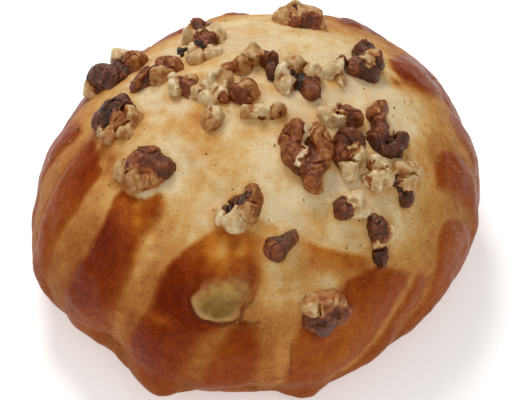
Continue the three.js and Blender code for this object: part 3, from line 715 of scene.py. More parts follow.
def belt_radius(azimuth):
    """Plan radius of the loaf at its belt."""
    return MEAN_RADIUS * (1 + OVAL_SHARE * np.cos(2 * np.radians(azimuth - OVAL_AZIMUTH)))


def dome(azimuth, drop):
    """Points of the bare dome, in millimetres."""
    belt = belt_radius(azimuth)
    angle = np.radians(90.0 * drop)
    lower = angle - math.pi / 2
    upper_radius = belt * np.sin(angle)
    upper_height = BELT_HEIGHT + (LOAF_HEIGHT - BELT_HEIGHT) * np.cos(angle)
    lower_radius = belt * (FOOT_SHARE + (1 - FOOT_SHARE) * np.cos(lower))
    lower_height = BELT_HEIGHT * (1 - np.sin(lower))
    base_radius = belt * FOOT_SHARE * (3.0 - drop)
    radius = np.where(drop <= 1, upper_radius, np.where(drop <= 2, lower_radius, base_radius))
    height = np.where(drop <= 1, upper_height, np.where(drop <= 2, lower_height, 0.0))
    turn = np.radians(azimuth)
    return np.stack((radius * np.cos(turn), radius * np.sin(turn), height), axis=-1)


def dome_normal(azimuth, drop):
    """Outward normals of the bare dome."""
    near = np.clip(drop, *SLOPE_DROPS)
    along = dome(azimuth, near + SLOPE_STEP) - dome(azimuth, near - SLOPE_STEP)
    around = dome(azimuth + SLOPE_TURN, near) - dome(azimuth - SLOPE_TURN, near)
    normal = np.cross(along, around)
    return normal / np.linalg.norm(normal, axis=-1, keepdims=True)


def flank_points(azimuth, drop):
    """Points of the bare dome down to its foot, in millimetres."""
    return dome(azimuth, np.minimum(drop, 2.0))


def unwound(azimuth):
    """Azimuths that run on from the first one."""
    return (azimuth - FIRST_AZIMUTH) % 360.0 + FIRST_AZIMUTH


def slope_offset(place, azimuth, drop):
    """Millimetres across and down the slope from a place on the loaf."""
    points = flank_points(azimuth, drop)
    radius = np.hypot(points[..., 0], points[..., 1])
    across = np.radians(turn_between(place[0], azimuth)) * radius
    return across, (drop - place[1]) * MERIDIAN


def spot(place, reach, azimuth, drop):
    """Share of a soft round spot at each place."""
    across, down = slope_offset(place, azimuth, drop)
    return np.exp(-(across / reach[0]) ** 2 - (down / reach[1]) ** 2)


def all_tongues():
    """Tongues that show, and the far ones by their rule."""
    far = []
    for tip, start, end in FAR_TONGUES:
        rows = [(tip, start - 1, start + 1)]
        for run in FAR_TONGUE_RUNS:
            centre = start + (end - start) * run
            half = FAR_TONGUE_HALF * min(1.0, 0.5 + 1.3 * run)
            rows.append((tip + (1 - tip) * run, centre - half, centre + half))
        far.append((rows, *FAR_TONGUE_SOFTNESS, FAR_TONGUE_DEPTH))
    return (*TONGUES, *far)


def tongue_shares(azimuth, drop):
    """Share of each tongue at each place, how far it swells there, and its depth."""
    points = flank_points(azimuth, drop)
    degree = np.radians(1.0) * np.hypot(points[..., 0], points[..., 1])
    turn = unwound(azimuth)
    waver = waves(points, EDGE_WAVES)
    wavering = drop + waves(points, ROW_WAVES)
    left = 1 - smoothstep(turn, *FRONT_START)
    lower = LOW_EDGE_SOFTNESS * smoothstep(drop, 0.6, 1.0) * left
    for rows, soft_low, soft_high, depth in all_tongues():
        drops, lows, highs = np.array(rows, dtype=float).T
        from_low = (turn - np.interp(wavering, drops, lows)) * degree + waver
        to_high = (np.interp(wavering, drops, highs) - turn) * degree - waver
        soft_low = EDGE_SOFTNESS + soft_low / 2 + lower
        soft_high = EDGE_SOFTNESS + soft_high / 2 + lower
        share = smoothstep(from_low, -soft_low, soft_low)
        share = share * smoothstep(to_high, -soft_high, soft_high)
        share = share * smoothstep(wavering, drops[0] - 0.012, drops[0] + 0.03)
        across = np.clip(from_low / np.maximum(from_low + to_high, 0.5), 0.0, 1.0)
        swell = (1 - (2 * across - 1) ** 2) ** 0.7 * smoothstep(drop, drops[0] - 0.02, drops[0] + 0.1)
        yield share, swell, depth


def tongue_relief(azimuth, drop):
    """Swell of the tongues above the creases between them, in millimetres."""
    swell = np.zeros_like(drop)
    for _, rise, _ in tongue_shares(azimuth, drop):
        swell = np.maximum(swell, rise)
    flank = smoothstep(drop, 0.45, 0.75)
    fade = 1 - smoothstep(drop, 1.3, 1.75)
    return fade * (swell * TONGUE_RISE - (1 - swell) * CREASE_DEPTH * flank)


def pocket_place(azimuth, drop):
    """Reach from the pocket's middle, 1 at its rim, share of its lower side, way across and down."""
    across, down = slope_offset((POCKET_AZIMUTH, POCKET_DROP), azimuth, drop)
    outline = np.array(POCKET_OUTLINE)
    turns = np.degrees(np.arctan2(outline[:, 1], outline[:, 0]))
    order = np.argsort(turns)
    rim = np.interp(np.degrees(np.arctan2(down, across)), turns[order],
                    np.hypot(outline[:, 0], outline[:, 1])[order], period=360)
    reach = np.hypot(across, down) / (rim + waves(flank_points(azimuth, drop), RIM_WAVES))
    return reach, smoothstep(down, -7.0, 4.5), across, down


def pocket_relief(azimuth, drop):
    """Bulge of the pocket with a crease under its lower lip, in millimetres."""
    reach, lower, _, _ = pocket_place(azimuth, drop)
    inside = POCKET_RISE * (1 - np.minimum(reach, 1.0) ** 3) * (0.2 + 0.8 * lower)
    ring = smoothstep(reach, 1.0, 1.15) * (1 - smoothstep(reach, 1.15, 1.6))
    return np.where(reach < 1, inside, -POCKET_CREASE * lower * ring)


def pocket_marks(azimuth, drop, points):
    """Shares of the pocket's skin, lip, painted crease shade and painted-lit upper end at each place."""
    reach, lower, across, down = pocket_place(azimuth, drop)
    pocket = 1 - smoothstep(reach + waves(points, POCKET_WAVES), 0.74 - 0.5 * (1 - lower), 1.06)
    pocket = pocket * smoothstep(down + waves(points, POCKET_TOP_WAVES), -11.0, 0.5)
    lip = lower * smoothstep(reach, 0.66, 0.88) * (1 - smoothstep(reach, 0.94, 1.02))
    lip = lip * (1 - smoothstep(across, 1.0, 7.0))
    # Shade is painted dark into the crease under the lower lip and into the darker creases.
    seam = lower * smoothstep(reach, 0.98, 1.06) * (1 - smoothstep(reach, 1.06, 1.25))
    for share, _, darkness in crease_shares(azimuth, drop):
        seam = np.maximum(seam, darkness * share)
    # The upper end is marked to be painted lighter than the shaded lower middle.
    return {"pocket": pocket, "lip": LIP_STRENGTH * lip, "seam": CREASE_SHADE_STRENGTH * seam,
            "raised": 1 - smoothstep(down, -6.0, 3.0)}


def crease_shares(azimuth, drop):
    """Share, depth and darkness of the painted shade of each crease at each place."""
    waver = waves(flank_points(azimuth, drop), CREASE_WAVES)
    for start, start_drop, end, end_drop, half, depth, darkness in CREASES:
        across, down = slope_offset((start, start_drop), azimuth, drop)
        run = slope_offset((start, start_drop), np.array([float(end)]), np.array([end_drop]))
        way = np.array((run[0][0], run[1][0]))
        along = np.clip((across * way[0] + down * way[1]) / (way @ way), 0.0, 1.0)
        gap = np.hypot(across - along * way[0], down - along * way[1] + waver)
        yield np.exp(-(gap / half) ** 2), depth, darkness


def loaf_relief(azimuth, drop):
    """Height of the loaf's skin above the bare dome, in millimetres."""
    total = tongue_relief(azimuth, drop) + pocket_relief(azimuth, drop)
    for *place, wide, long, rise in SWELLS:
        total = total + rise * spot(place, (wide, long), azimuth, drop)
    for share, depth, _ in crease_shares(azimuth, drop):
        total = total - depth * share
    return total * (1 - smoothstep(drop, 1.8, 2.0))


def blush_shares(azimuth, drop):
    """Share of each blush at each place, crisp along its upper edge, and its change of toast."""
    for start, top, end, low, run, change in BLUSHES:
        along = turn_between(start, azimuth) / (end - start)
        below = drop - top - (low - top) * np.clip(along, 0.0, 1.0)
        share = smoothstep(below, -0.01, 0.015) * np.exp(-(np.maximum(below, 0.0) / run) ** 2)
        yield share * smoothstep(along, -0.1, 0.2) * (1 - smoothstep(along, 0.8, 1.1)), change


def loaf_toast(azimuth, drop):
    """How far the crust is baked, 0 cream to 1 dark brown, and the share of the tongues."""
    edge = np.interp(azimuth % 360.0, *zip(*CROWN_EDGE))
    flank = np.interp(azimuth % 360.0, *zip(*FLANK_TOAST))
    points = flank_points(azimuth, drop)
    brown = smoothstep(drop, edge - 0.14, edge + 0.14)
    flank = flank + 0.4 * np.clip(drop - 0.78, -0.3, 0.3)
    toast = CROWN_TOAST + (flank - CROWN_TOAST) * brown
    toast = toast + waves(points, TOAST_WAVES) * (1 - 0.6 * brown)
    front = smoothstep(unwound(azimuth), *FRONT_START)
    fade = smoothstep(drop - 0.2 * front, 0.68, 1.1)
    tongues = np.zeros_like(drop)
    for share, _, depth in tongue_shares(azimuth, drop):
        toast = mixed(toast, mixed(0.5 + 0.45 * depth, TONGUE_FOOT_TOAST, fade), share)
        tongues = np.maximum(tongues, share)
    blur = 1 + waves(points, PATCH_WAVES)
    for *place, wide, long, change in PATCHES:
        toast = toast + change * blur * spot(place, (wide, long), azimuth, drop)
    for share, change in blush_shares(azimuth, drop):
        toast = toast + change * share
        tongues = np.maximum(tongues, BLUSH_SHARE * share)
    toast = mixed(toast, FOOT_TOAST, smoothstep(drop, 1.1, 1.6))
    return np.clip(toast, 0.0, 1.0), tongues * (1 - 0.5 * fade)


def crowd(share, place, strength):
    """Share of a turn, moved towards a place where steps crowd."""
    turn = 2 * math.pi
    ease = np.sin(turn * (share - place)) + math.sin(turn * place)
    return share - strength * ease / turn


def loaf_grid():
    """Azimuth and drop of each point of the loaf's skin, and its faces."""
    azimuths = 360.0 * crowd(np.arange(SECTORS) / SECTORS, FRONT_AZIMUTH / 360.0, FRONT_CROWDING)
    crown = crowd(np.arange(1, CROWN_RINGS + 1) / CROWN_RINGS, FRONT_DROP, RING_CROWDING)
    flank = 1 + np.arange(1, FLANK_RINGS + 1) / FLANK_RINGS
    base = 2 + np.arange(1, BASE_RINGS) / BASE_RINGS
    drops = np.concatenate((crown, flank, base))
    rings = len(drops)
    azimuth = np.concatenate(([0.0], np.tile(azimuths, rings), [0.0]))
    drop = np.concatenate(([0.0], np.repeat(drops, SECTORS), [3.0]))
    here = np.arange(SECTORS)
    following = (here + 1) % SECTORS
    faces = [(0, 1 + a, 1 + b) for a, b in zip(here, following)]
    for ring in range(rings - 1):
        upper = 1 + ring * SECTORS
        lower = upper + SECTORS
        faces.extend((upper + a, lower + a, lower + b, upper + b) for a, b in zip(here, following))
    last = 1 + (rings - 1) * SECTORS
    bottom = rings * SECTORS + 1
    faces.extend((bottom, last + b, last + a) for a, b in zip(here, following))
    return azimuth, drop, faces


def loaf_points(azimuth, drop, relief):
    """Points of the loaf's skin about its own axis, in millimetres."""
    return dome(azimuth, drop) + dome_normal(azimuth, drop) * relief[:, None]


def loaf_axis(points):
    """Where the loaf's own axis stands in the frame, in millimetres."""
    low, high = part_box("loaf")
    middle = [(low[i] + high[i]) / 2 / MM for i in range(2)]
    return [middle[i] - (points[:, i].min() + points[:, i].max()) / 2 for i in range(2)]


def kernel_frame(kernel, axis):
    """Foot of a kernel on the loaf, and its ways right, upslope and outward, in millimetres."""
    x, y = kernel["place"]
    azimuth = np.array([math.degrees(math.atan2(y, x))])
    share = np.minimum(math.hypot(x, y) / belt_radius(azimuth), FARTHEST_OUT)
    drop = np.arcsin(share) / (math.pi / 2)
    outward = dome_normal(azimuth, drop)[0]
    foot = dome(azimuth, drop)[0] + outward * loaf_relief(azimuth, drop)[0]
    foot[:2] += axis
    upslope = np.cross(outward, (1.0, 0.0, 0.0))
    upslope /= np.linalg.norm(upslope)
    return foot, np.array((np.cross(upslope, outward), upslope, outward))


def leaning_way(turn, lean):
    """Unit vector at a turn, leaning up from the level."""
    return np.array((math.cos(lean) * math.cos(turn), math.cos(lean) * math.sin(turn), math.sin(lean)))


def lobe_fullness(points, lobes):
    """Fullness of each lobe of an arm at points in a kernel's own ways."""
    shares = []
    for right, upslope, radius, height, _ in lobes:
        flat = ((points[..., 0] - right) ** 2 + (points[..., 1] - upslope) ** 2) / radius ** 2
        shares.append(np.exp(LOBE_PARTING * (1 - flat - (points[..., 2] / height) ** 2)))
    return np.array(shares)


def kernel_field(points, kernel):
    """Field of a kernel: above 0 inside its melted lobes and behind its broken face."""
    arms = [lobe_fullness(points, lobes).sum(axis=0) for lobes in kernel["arms"]]
    field = np.log(np.maximum(np.max(arms, axis=0), 1e-9)) - LOBE_SHRINK
    if "face" in kernel:
        turn, lean, distance = kernel["face"]
        way = leaning_way(math.radians(turn), math.radians(lean))
        field = np.minimum(field, FIELD_SLOPE * (distance - points @ way))
    return field


def field_skin(field):
    """Points and faces of the closed skin where a field on a grid passes zero."""
    cells = tuple(n - 1 for n in field.shape)
    inside = field > 0
    total = np.zeros((*cells, 3))
    crossings = np.zeros(cells)
    faces = []
    for axis in range(3):
        first = np.moveaxis(field, axis, 0)
        crossed = (first[:-1] > 0) != (first[1:] > 0)
        gap = np.where(crossed, first[:-1] - first[1:], 1.0)
        share = np.where(crossed, first[:-1] / gap, 0.0)
        others = [i for i in range(3) if i != axis]
        for step in ((0, 0), (0, 1), (1, 0), (1, 1)):
            cut = tuple(slice(s, s + cells[i]) for s, i in zip(step, others))
            here = np.moveaxis(crossed[(slice(None), *cut)], 0, axis)
            total[..., axis] += np.moveaxis(share[(slice(None), *cut)], 0, axis)
            for s, i in zip(step, others):
                total[..., i] += here * s
            crossings += here
    used = crossings > 0
    index = np.full(cells, -1)
    index[used] = np.arange(used.sum())
    points = np.argwhere(used) + total[used] / crossings[used][:, None]
    for axis in range(3):
        first, second = (axis + 1) % 3, (axis + 2) % 3
        low = np.take(inside, range(field.shape[axis] - 1), axis)
        high = np.take(inside, range(1, field.shape[axis]), axis)
        edges = np.argwhere(low != high)
        leaving = low[tuple(edges.T)]
        corners = []
        for back_first, back_second in ((1, 1), (0, 1), (0, 0), (1, 0)):
            cell = edges.copy()
            cell[:, first] -= back_first
            cell[:, second] -= back_second
            corners.append(index[tuple(cell.T)])
        quads = np.stack(corners, axis=1)
        quads[~leaving] = quads[~leaving][:, ::-1]
        faces.append(quads)
    return points, np.concatenate(faces)


def all_lobes(kernel):
    """Lobes of all arms of a kernel."""
    return [lobe for arm in kernel["arms"] for lobe in arm]


def warped(points, rows, number):
    """Points shifted all three ways by irregular waves, which differ from kernel to kernel."""
    moved = points
    for height, size, first_seed, seeds in rows:
        seed = first_seed + seeds * number
        moved = moved + height * np.stack([ripple(points, size, seed + i) for i in range(3)], axis=-1)
    return moved


def skin_folds(points, number):
    """Folds of a kernel's brown skin: 1 in their valleys."""
    bent = warped(points, FOLD_WARP, number)
    return np.max([strength * np.exp(-(ripple(bent, size, seed + number) / half) ** 2)
                   for size, half, seed, strength in SKIN_FOLDS], axis=0)


def broken_faces(points, kernel, number):
    """Distance of points inside the flat broken faces of a kernel's pale lobes."""
    maker = np.random.default_rng(FACE_SEED + number)
    lobes = all_lobes(kernel)
    strongest = lobe_fullness(points, lobes).argmax(axis=0)
    inside = np.full(points.shape[:-1], math.inf)
    for i, (right, upslope, radius, height, roast) in enumerate(lobes):
        for _ in range(PALE_FACES if roast < SKIN_ROAST else 0):
            way = leaning_way(maker.uniform(0, 2 * math.pi), maker.uniform(*FACE_LEAN))
            reach = FACE_DEPTH * np.linalg.norm(way * (radius, radius, height))
            gap = reach - (points - (right, upslope, 0.0)) @ way
            inside = np.where(strongest == i, np.minimum(inside, gap), inside)
    return inside


def hollows(points, faces):
    """How far a mesh is sunk at each point: above 0 in its creases, below 0 on its ridges."""
    count = len(points)
    corners = faces.ravel()

    def gathered(values):
        return np.stack([np.bincount(corners, values[:, i], count) for i in range(3)], axis=-1)

    across = np.cross(points[faces[:, 2]] - points[faces[:, 0]], points[faces[:, 3]] - points[faces[:, 1]])
    normals = gathered(np.repeat(across, 4, axis=0))
    normals /= np.maximum(np.linalg.norm(normals, axis=1, keepdims=True), 1e-9)
    after = np.roll(faces, -1, axis=1).ravel()
    before = np.roll(faces, 1, axis=1).ravel()
    share = 1 / np.maximum(2 * np.bincount(corners, minlength=count), 1)
    smooth = points
    for _ in range(HOLLOW_ROUNDS):
        smooth = gathered(smooth[after] + smooth[before]) * share[:, None]
    return ((smooth - points) * normals).sum(axis=1)


def kernel_mesh(number, axis, look):
    """Fine mesh of a kernel, cut by the kernels listed before it."""
    kernel = KERNELS[number]
    foot, ways = kernel_frame(kernel, axis)
    step = look.grain / MM
    root = look.root / MM
    lobes = np.array(all_lobes(kernel))
    room = lobes[:, 2:3] + GRID_ROOM
    low = np.array((*(lobes[:, :2] - room).min(axis=0), -root - 2 * step))
    high = np.array((*(lobes[:, :2] + room).max(axis=0), lobes[:, 3].max() + GRID_ROOM))
    counts = np.ceil((high - low) / step).astype(int) + 1
    grid = np.stack(np.meshgrid(*(np.arange(n) for n in counts), indexing="ij"), axis=-1) * step + low
    bent = warped(grid, FORM_WARP, number)
    field = kernel_field(bent, kernel)
    field = np.minimum(field, FIELD_SLOPE * broken_faces(bent, kernel, number))
    roast = kernel_roast(grid, kernel, number)[0]
    skin = FLESH_FOLDS + (1 - FLESH_FOLDS) * smoothstep(roast, 0.25, 0.5)
    field = field - FIELD_SLOPE * look.fold_depth / MM * skin * skin_folds(grid, number)
    field = np.minimum(field, FIELD_SLOPE * (grid[..., 2] + root))
    for other in KERNELS[:number]:
        if math.dist(other["place"], kernel["place"]) < TOUCHING_REACH:
            other_foot, other_ways = kernel_frame(other, axis)
            theirs = (grid @ ways + foot - other_foot) @ other_ways.T
            field = np.minimum(field, -kernel_field(theirs, other) - FIELD_SLOPE * look.gap / MM)
    points, faces = field_skin(field)
    local = points * step + low
    mesh = bpy.data.meshes.new("kernel")
    mesh.from_pydata(((local @ ways + foot) * MM).tolist(), [], faces.tolist())
    roast, rim = kernel_roast(local, kernel, number)
    # How sunk the kernel is at each point, kept to paint shade into its creases and light onto its ridges.
    hollow = np.clip(hollows(local, faces) / HOLLOW_DEPTH, -1.0, 1.0)
    set_numbers(mesh, {"roast": roast, "rim": rim, "hollow": hollow})
    return mesh


def kernel_roast(local, kernel, number):
    """How far each point of a kernel is roasted, and how near it is to an edge of its skin."""
    bent = warped(local, ROAST_WARP, number)
    lobes = all_lobes(kernel)
    roasts = np.array([lobe[4] for lobe in lobes]).reshape((-1, *(1,) * (local.ndim - 1)))
    shares = lobe_fullness(bent, lobes) ** ROAST_PARTING + 1e-12
    shares = shares / shares.sum(axis=0)
    roast = (shares * roasts).sum(axis=0)
    rim = np.sqrt(np.maximum((shares * roasts ** 2).sum(axis=0) - roast ** 2, 0.0)) / RIM_SPREAD
    for right, upslope, radius, mark in kernel.get("marks", ()):
        gap = np.hypot(bent[..., 0] - right, bent[..., 1] - upslope) / radius
        roast = mixed(roast, mark, 1 - smoothstep(gap, 0.75, 1.2))
    for line, half, mark in kernel.get("veins", ()):
        for start, end in zip(line, line[1:]):
            way = np.subtract(end, start)
            run = np.clip((bent[..., :2] - start) @ way / (way @ way), 0.0, 1.0)
            gap = np.linalg.norm(bent[..., :2] - start - run[..., None] * way, axis=-1)
            roast = mixed(roast, mark, 1 - smoothstep(gap, 0.6 * half, 1.2 * half))
    return roast, np.minimum(rim, 1.0)


def kernel_distance(points, axis):
    """Distance of each point to the nearest kernel, in millimetres, roughly and up to a limit."""
    nearest = np.full(len(points), COLLAR_LIMIT)
    for kernel in KERNELS:
        foot, ways = kernel_frame(kernel, axis)
        local = (points - foot) @ ways.T
        close = np.linalg.norm(local, axis=1) < KERNEL_REACH
        for right, upslope, radius, *_ in all_lobes(kernel):
            gap = np.hypot(local[close, 0] - right, local[close, 1] - upslope) - radius
            nearest[close] = np.minimum(nearest[close], np.maximum(gap, 0.0))
    return nearest


def loaf_skin_tree():
    """Geometry tree that lays a grid of azimuths and drops out as the loaf's skin."""
    wires, given, out = new_geometry_tree("Loaf skin", (
        "Mean Radius", "Oval Share", "Oval Azimuth", "Loaf Height", "Belt Height", "Foot Share",
        "Dimple Height", "Dimple Size", "Blister Height", "Blister Size", "Seed"), Axis="Vector")
    azimuth = wires.stored("azimuth")
    drop = wires.stored("drop")
    turn = wires.math("RADIANS", azimuth)
    oval_turn = wires.product(wires.math("SUBTRACT", turn, given["Oval Azimuth"]), 2.0)
    oval = wires.product(wires.math("COSINE", oval_turn), given["Oval Share"])
    belt = wires.product(given["Mean Radius"], wires.total(oval, 1.0))
    angle = wires.product(drop, math.pi / 2)
    lower = wires.math("SUBTRACT", angle, math.pi / 2)
    rise = wires.math("SUBTRACT", given["Loaf Height"], given["Belt Height"])
    upper_radius = wires.product(belt, wires.math("SINE", angle))
    upper_height = wires.math("MULTIPLY_ADD", rise, wires.math("COSINE", angle), given["Belt Height"])
    overhang = wires.math("SUBTRACT", 1.0, given["Foot Share"])
    tuck = wires.math("MULTIPLY_ADD", overhang, wires.math("COSINE", lower), given["Foot Share"])
    lower_radius = wires.product(belt, tuck)
    sunk = wires.math("SUBTRACT", 1.0, wires.math("SINE", lower))
    lower_height = wires.product(given["Belt Height"], sunk)
    base_share = wires.product(given["Foot Share"], wires.math("SUBTRACT", 3.0, drop))
    base_radius = wires.product(belt, base_share)
    below_belt = wires.math("GREATER_THAN", drop, 1.0)
    on_base = wires.math("GREATER_THAN", drop, 2.0)
    radius = wires.choose(on_base, wires.choose(below_belt, upper_radius, lower_radius), base_radius)
    height = wires.choose(on_base, wires.choose(below_belt, upper_height, lower_height), 0.0)
    bare = wires.vector(wires.product(radius, wires.math("COSINE", turn)),
                        wires.product(radius, wires.math("SINE", turn)), height)
    laid = wires.placed(given["Geometry"], wires.shifted(bare, given["Axis"]))
    raised = wires.pushed(laid, wires.stored("relief"))
    place = wires.node("GeometryNodeInputPosition").outputs[0]
    seeded = wires.shifted(place, wires.vector(given["Seed"]))
    dimples = wires.swing(wires.noise(seeded, given["Dimple Size"]), given["Dimple Height"])
    peaks = wires.ease(wires.noise(seeded, given["Blister Size"], 3.0, 0.6), 0.5, 0.75)
    coarse = wires.math("MULTIPLY_ADD", wires.stored("pocket"), 3.0, 1.0)
    blisters = wires.product(peaks, given["Blister Height"], coarse)
    textured = wires.pushed(raised, wires.product(wires.total(dimples, blisters), wires.stored("free")))
    parts = wires.node("ShaderNodeSeparateXYZ", {0: place}).outputs
    above = wires.vector(parts[0], parts[1], wires.math("MAXIMUM", parts[2], 0.0))
    finish_tree(wires, given, out, wires.placed(textured, above))
    return wires.tree


def finish_tree(wires, given, out, geometry):
    """Ends a geometry tree: smooth, real and with its material."""
    smooth = wires.node("GeometryNodeSetShadeSmooth", {"Geometry": geometry})
    real = wires.node("GeometryNodeRealizeInstances", {"Geometry": smooth.outputs[0]})
    dressed = wires.node("GeometryNodeSetMaterial", {
        "Geometry": real.outputs[0], "Material": given["Material"]})
    wires.feed(out["Geometry"], dressed.outputs[0])


def kernel_grit_tree():
    """Geometry tree that roughens a kernel's skin with fine wrinkles and grit."""
    wires, given, out = new_geometry_tree("Kernel grit", (
        "Wrinkle Size", "Wrinkle Depth", "Grit Size", "Grit Height", "Seed"))
    place = wires.node("GeometryNodeInputPosition").outputs[0]
    seeded = wires.shifted(place, wires.vector(given["Seed"], given["Seed"]))
    creased = wires.noise(seeded, given["Wrinkle Size"], 1.0, 0.5, 0.6)
    valley = wires.math("ABSOLUTE", wires.math("MULTIPLY_ADD", creased, 2.0, -1.0))
    wrinkle = wires.ease(valley, 0.0, 0.16, 1.0, 0.0)
    grains = wires.swing(wires.noise(seeded, given["Grit Size"], 3.0, 0.6), given["Grit Height"])
    rise = wires.math("MULTIPLY_ADD", wrinkle, wires.product(given["Wrinkle Depth"], -1.0), grains)
    finish_tree(wires, given, out, wires.pushed(given["Geometry"], rise))
    return wires.tree


def crumb_tree():
    """Geometry tree that sets a small rough crumb on every point."""
    wires, given, out = new_geometry_tree("Crumbs", ("Roughness", "Grain Size"), Seed="Int")
    lump = wires.node("GeometryNodeMeshIcoSphere", {"Radius": 1.0, "Subdivisions": 2})
    turned = wires.node("FunctionNodeRandomValue", {
        0: (0.0, 0.0, 0.0), 1: CRUMB_TURN, "Seed": given["Seed"]}, data_type="FLOAT_VECTOR")
    spread = wires.node("FunctionNodeRandomValue", {
        0: CRUMB_WIDTHS[0], 1: CRUMB_WIDTHS[1], "Seed": given["Seed"]}, data_type="FLOAT_VECTOR")
    size = wires.scaled(spread.outputs[0], wires.stored("size"))
    strewn = wires.node("GeometryNodeInstanceOnPoints", {
        "Points": given["Geometry"], "Instance": lump.outputs[0],
        "Rotation": turned.outputs[0], "Scale": size})
    real = wires.node("GeometryNodeRealizeInstances", {"Geometry": strewn.outputs[0]})
    place = wires.node("GeometryNodeInputPosition").outputs[0]
    rough = wires.swing(wires.noise(place, given["Grain Size"]), given["Roughness"])
    lift = wires.product(rough, wires.stored("size"))
    finish_tree(wires, given, out, wires.pushed(real.outputs[0], lift))
    return wires.tree


def mottle_group():
    """Shader group: clouds, freckles and grain over a baked surface, made once."""
    name = "Baked mottle"
    if name in bpy.data.node_groups:
        return bpy.data.node_groups[name]
    rows = (("Cloud Size", "Clouds", 3.0), ("Freckle Size", "Freckles", 4.0), ("Grain Size", "Grain", 2.0))
    sizes, marks, _ = zip(*rows)
    wires, given, out = new_tree(
        name, "ShaderNodeTree", dict.fromkeys(sizes, "Float"), dict.fromkeys(marks, "Float"))
    place = wires.node("ShaderNodeTexCoord").outputs["Object"]
    for size, mark, detail in rows:
        wires.feed(out[mark], wires.noise(place, given[size], detail, 0.55))
    return wires.tree


def use_group(wires, tree, values):
    """Places a shader group in a material; gives its outputs."""
    return wires.node("ShaderNodeGroup", values, node_tree=tree).outputs


def new_material(name):
    """Material with a bare surface shader; gives it, its wiring and the shader."""
    material = bpy.data.materials.new(name)
    material.use_nodes = True
    wires = Wiring(material.node_tree)
    shader = material.node_tree.nodes["Principled BSDF"]
    wires.feed_all(shader, PLAIN_SHINE)
    return material, wires, shader


def roughen(wires, shader, noise, bump):
    """Feeds the fine unevenness of grain and freckles to a shader."""
    strength, depth = bump
    made = wires.node("ShaderNodeBump", {
        "Height": wires.total(noise["Grain"], noise["Freckles"]), "Strength": strength, "Distance": depth})
    wires.feed(shader.inputs["Normal"], made.outputs[0])


def crust_material(look):
    """Crust from cream over gold to dark brown, with an olive blister."""
    material, wires, shader = new_material("baked crust")
    noise = use_group(wires, mottle_group(), CRUST_MOTTLE)
    toast = wires.attribute("toast")
    tongue = wires.attribute("tongue")
    baked = wires.total(
        toast, wires.swing(noise["Clouds"], look.clouds), wires.swing(noise["Freckles"], look.freckles),
        wires.swing(noise["Grain"], look.grain))
    colour = wires.blend(tongue, wires.ramp(baked, PALE_STOPS), wires.ramp(baked, TONGUE_STOPS))
    thin = wires.ease(toast, 0.1, 0.3, look.bloom_share, 0.0)
    bloom = wires.product(wires.ease(noise["Clouds"], 0.48, 0.62), thin, wires.attribute("floured"))
    colour = wires.blend(bloom, colour, rgba(look.bloom))
    # The pocket is painted lighter at its upper end and darker at its lower middle, as light and shade, with
    # freckles over it.
    light = wires.math("MULTIPLY_ADD", noise["Freckles"], 1.2, wires.attribute("raised"))
    olive = wires.blend(wires.ease(light, 0.4, 1.5), rgba(look.pocket_shaded), rgba(look.pocket_lit))
    # Last come the pocket, its lip and the shade painted into creases.
    for mark, shade in (("pocket", olive), ("lip", rgba(look.lip)), ("seam", rgba(look.seam))):
        colour = wires.blend(wires.attribute(mark), colour, shade)
    gloss = wires.ease(toast, 0.3, 0.8, *CRUST_ROUGHNESS)
    wires.feed_all(shader, {
        "Base Color": colour, **CRUST_SHINE,
        "Roughness": wires.math("MULTIPLY_ADD", noise["Freckles"], CRUST_FRECKLE_ROUGHNESS, gloss),
        "Coat Weight": wires.math("MULTIPLY_ADD", tongue, TONGUE_GLAZE, GLAZE)})
    roughen(wires, shader, noise, CRUST_BUMP)
    return material


def kernel_group():
    """Shader group: walnut from pale broken flesh over brown skin to burnt, with painted shade in creases."""
    wires, given, out = new_tree(
        "Roasted walnut", "ShaderNodeTree",
        dict.fromkeys(("Roast", "Rim", "Hollow", "Clouds", "Freckles"), "Float"),
        {"Color": "Color", "Roughness": "Float"})
    # Roast is raised in creases and lowered on ridges as painted shade and light.
    roast = wires.total(
        given["Roast"], wires.swing(given["Clouds"], ROAST_CLOUDS),
        wires.swing(given["Freckles"], ROAST_FRECKLES), wires.product(given["Rim"], ROAST_RIM),
        wires.math("MULTIPLY_ADD", given["Hollow"], HOLLOW_SHADE, ROAST_BASE))
    gloss = wires.ease(roast, 0.2, 0.5, *KERNEL_ROUGHNESS)
    wires.feed(out["Color"], wires.ramp(roast, KERNEL_STOPS))
    wires.feed(out["Roughness"], wires.math(
        "MULTIPLY_ADD", given["Freckles"], KERNEL_FRECKLE_ROUGHNESS, gloss))
    return wires.tree


def kernel_material(name, walnut):
    """Walnut, coloured by its stored roast."""
    material, wires, shader = new_material(name)
    noise = use_group(wires, mottle_group(), KERNEL_MOTTLE)
    stored = {label: wires.attribute(label.lower()) for label in ("Roast", "Rim", "Hollow")}
    result = use_group(wires, walnut, {
        **stored, "Clouds": noise["Clouds"], "Freckles": noise["Freckles"]})
    wires.feed_all(shader, {
        "Base Color": result["Color"], "Roughness": result["Roughness"], **KERNEL_SHINE})
    roughen(wires, shader, noise, KERNEL_BUMP)
    return material


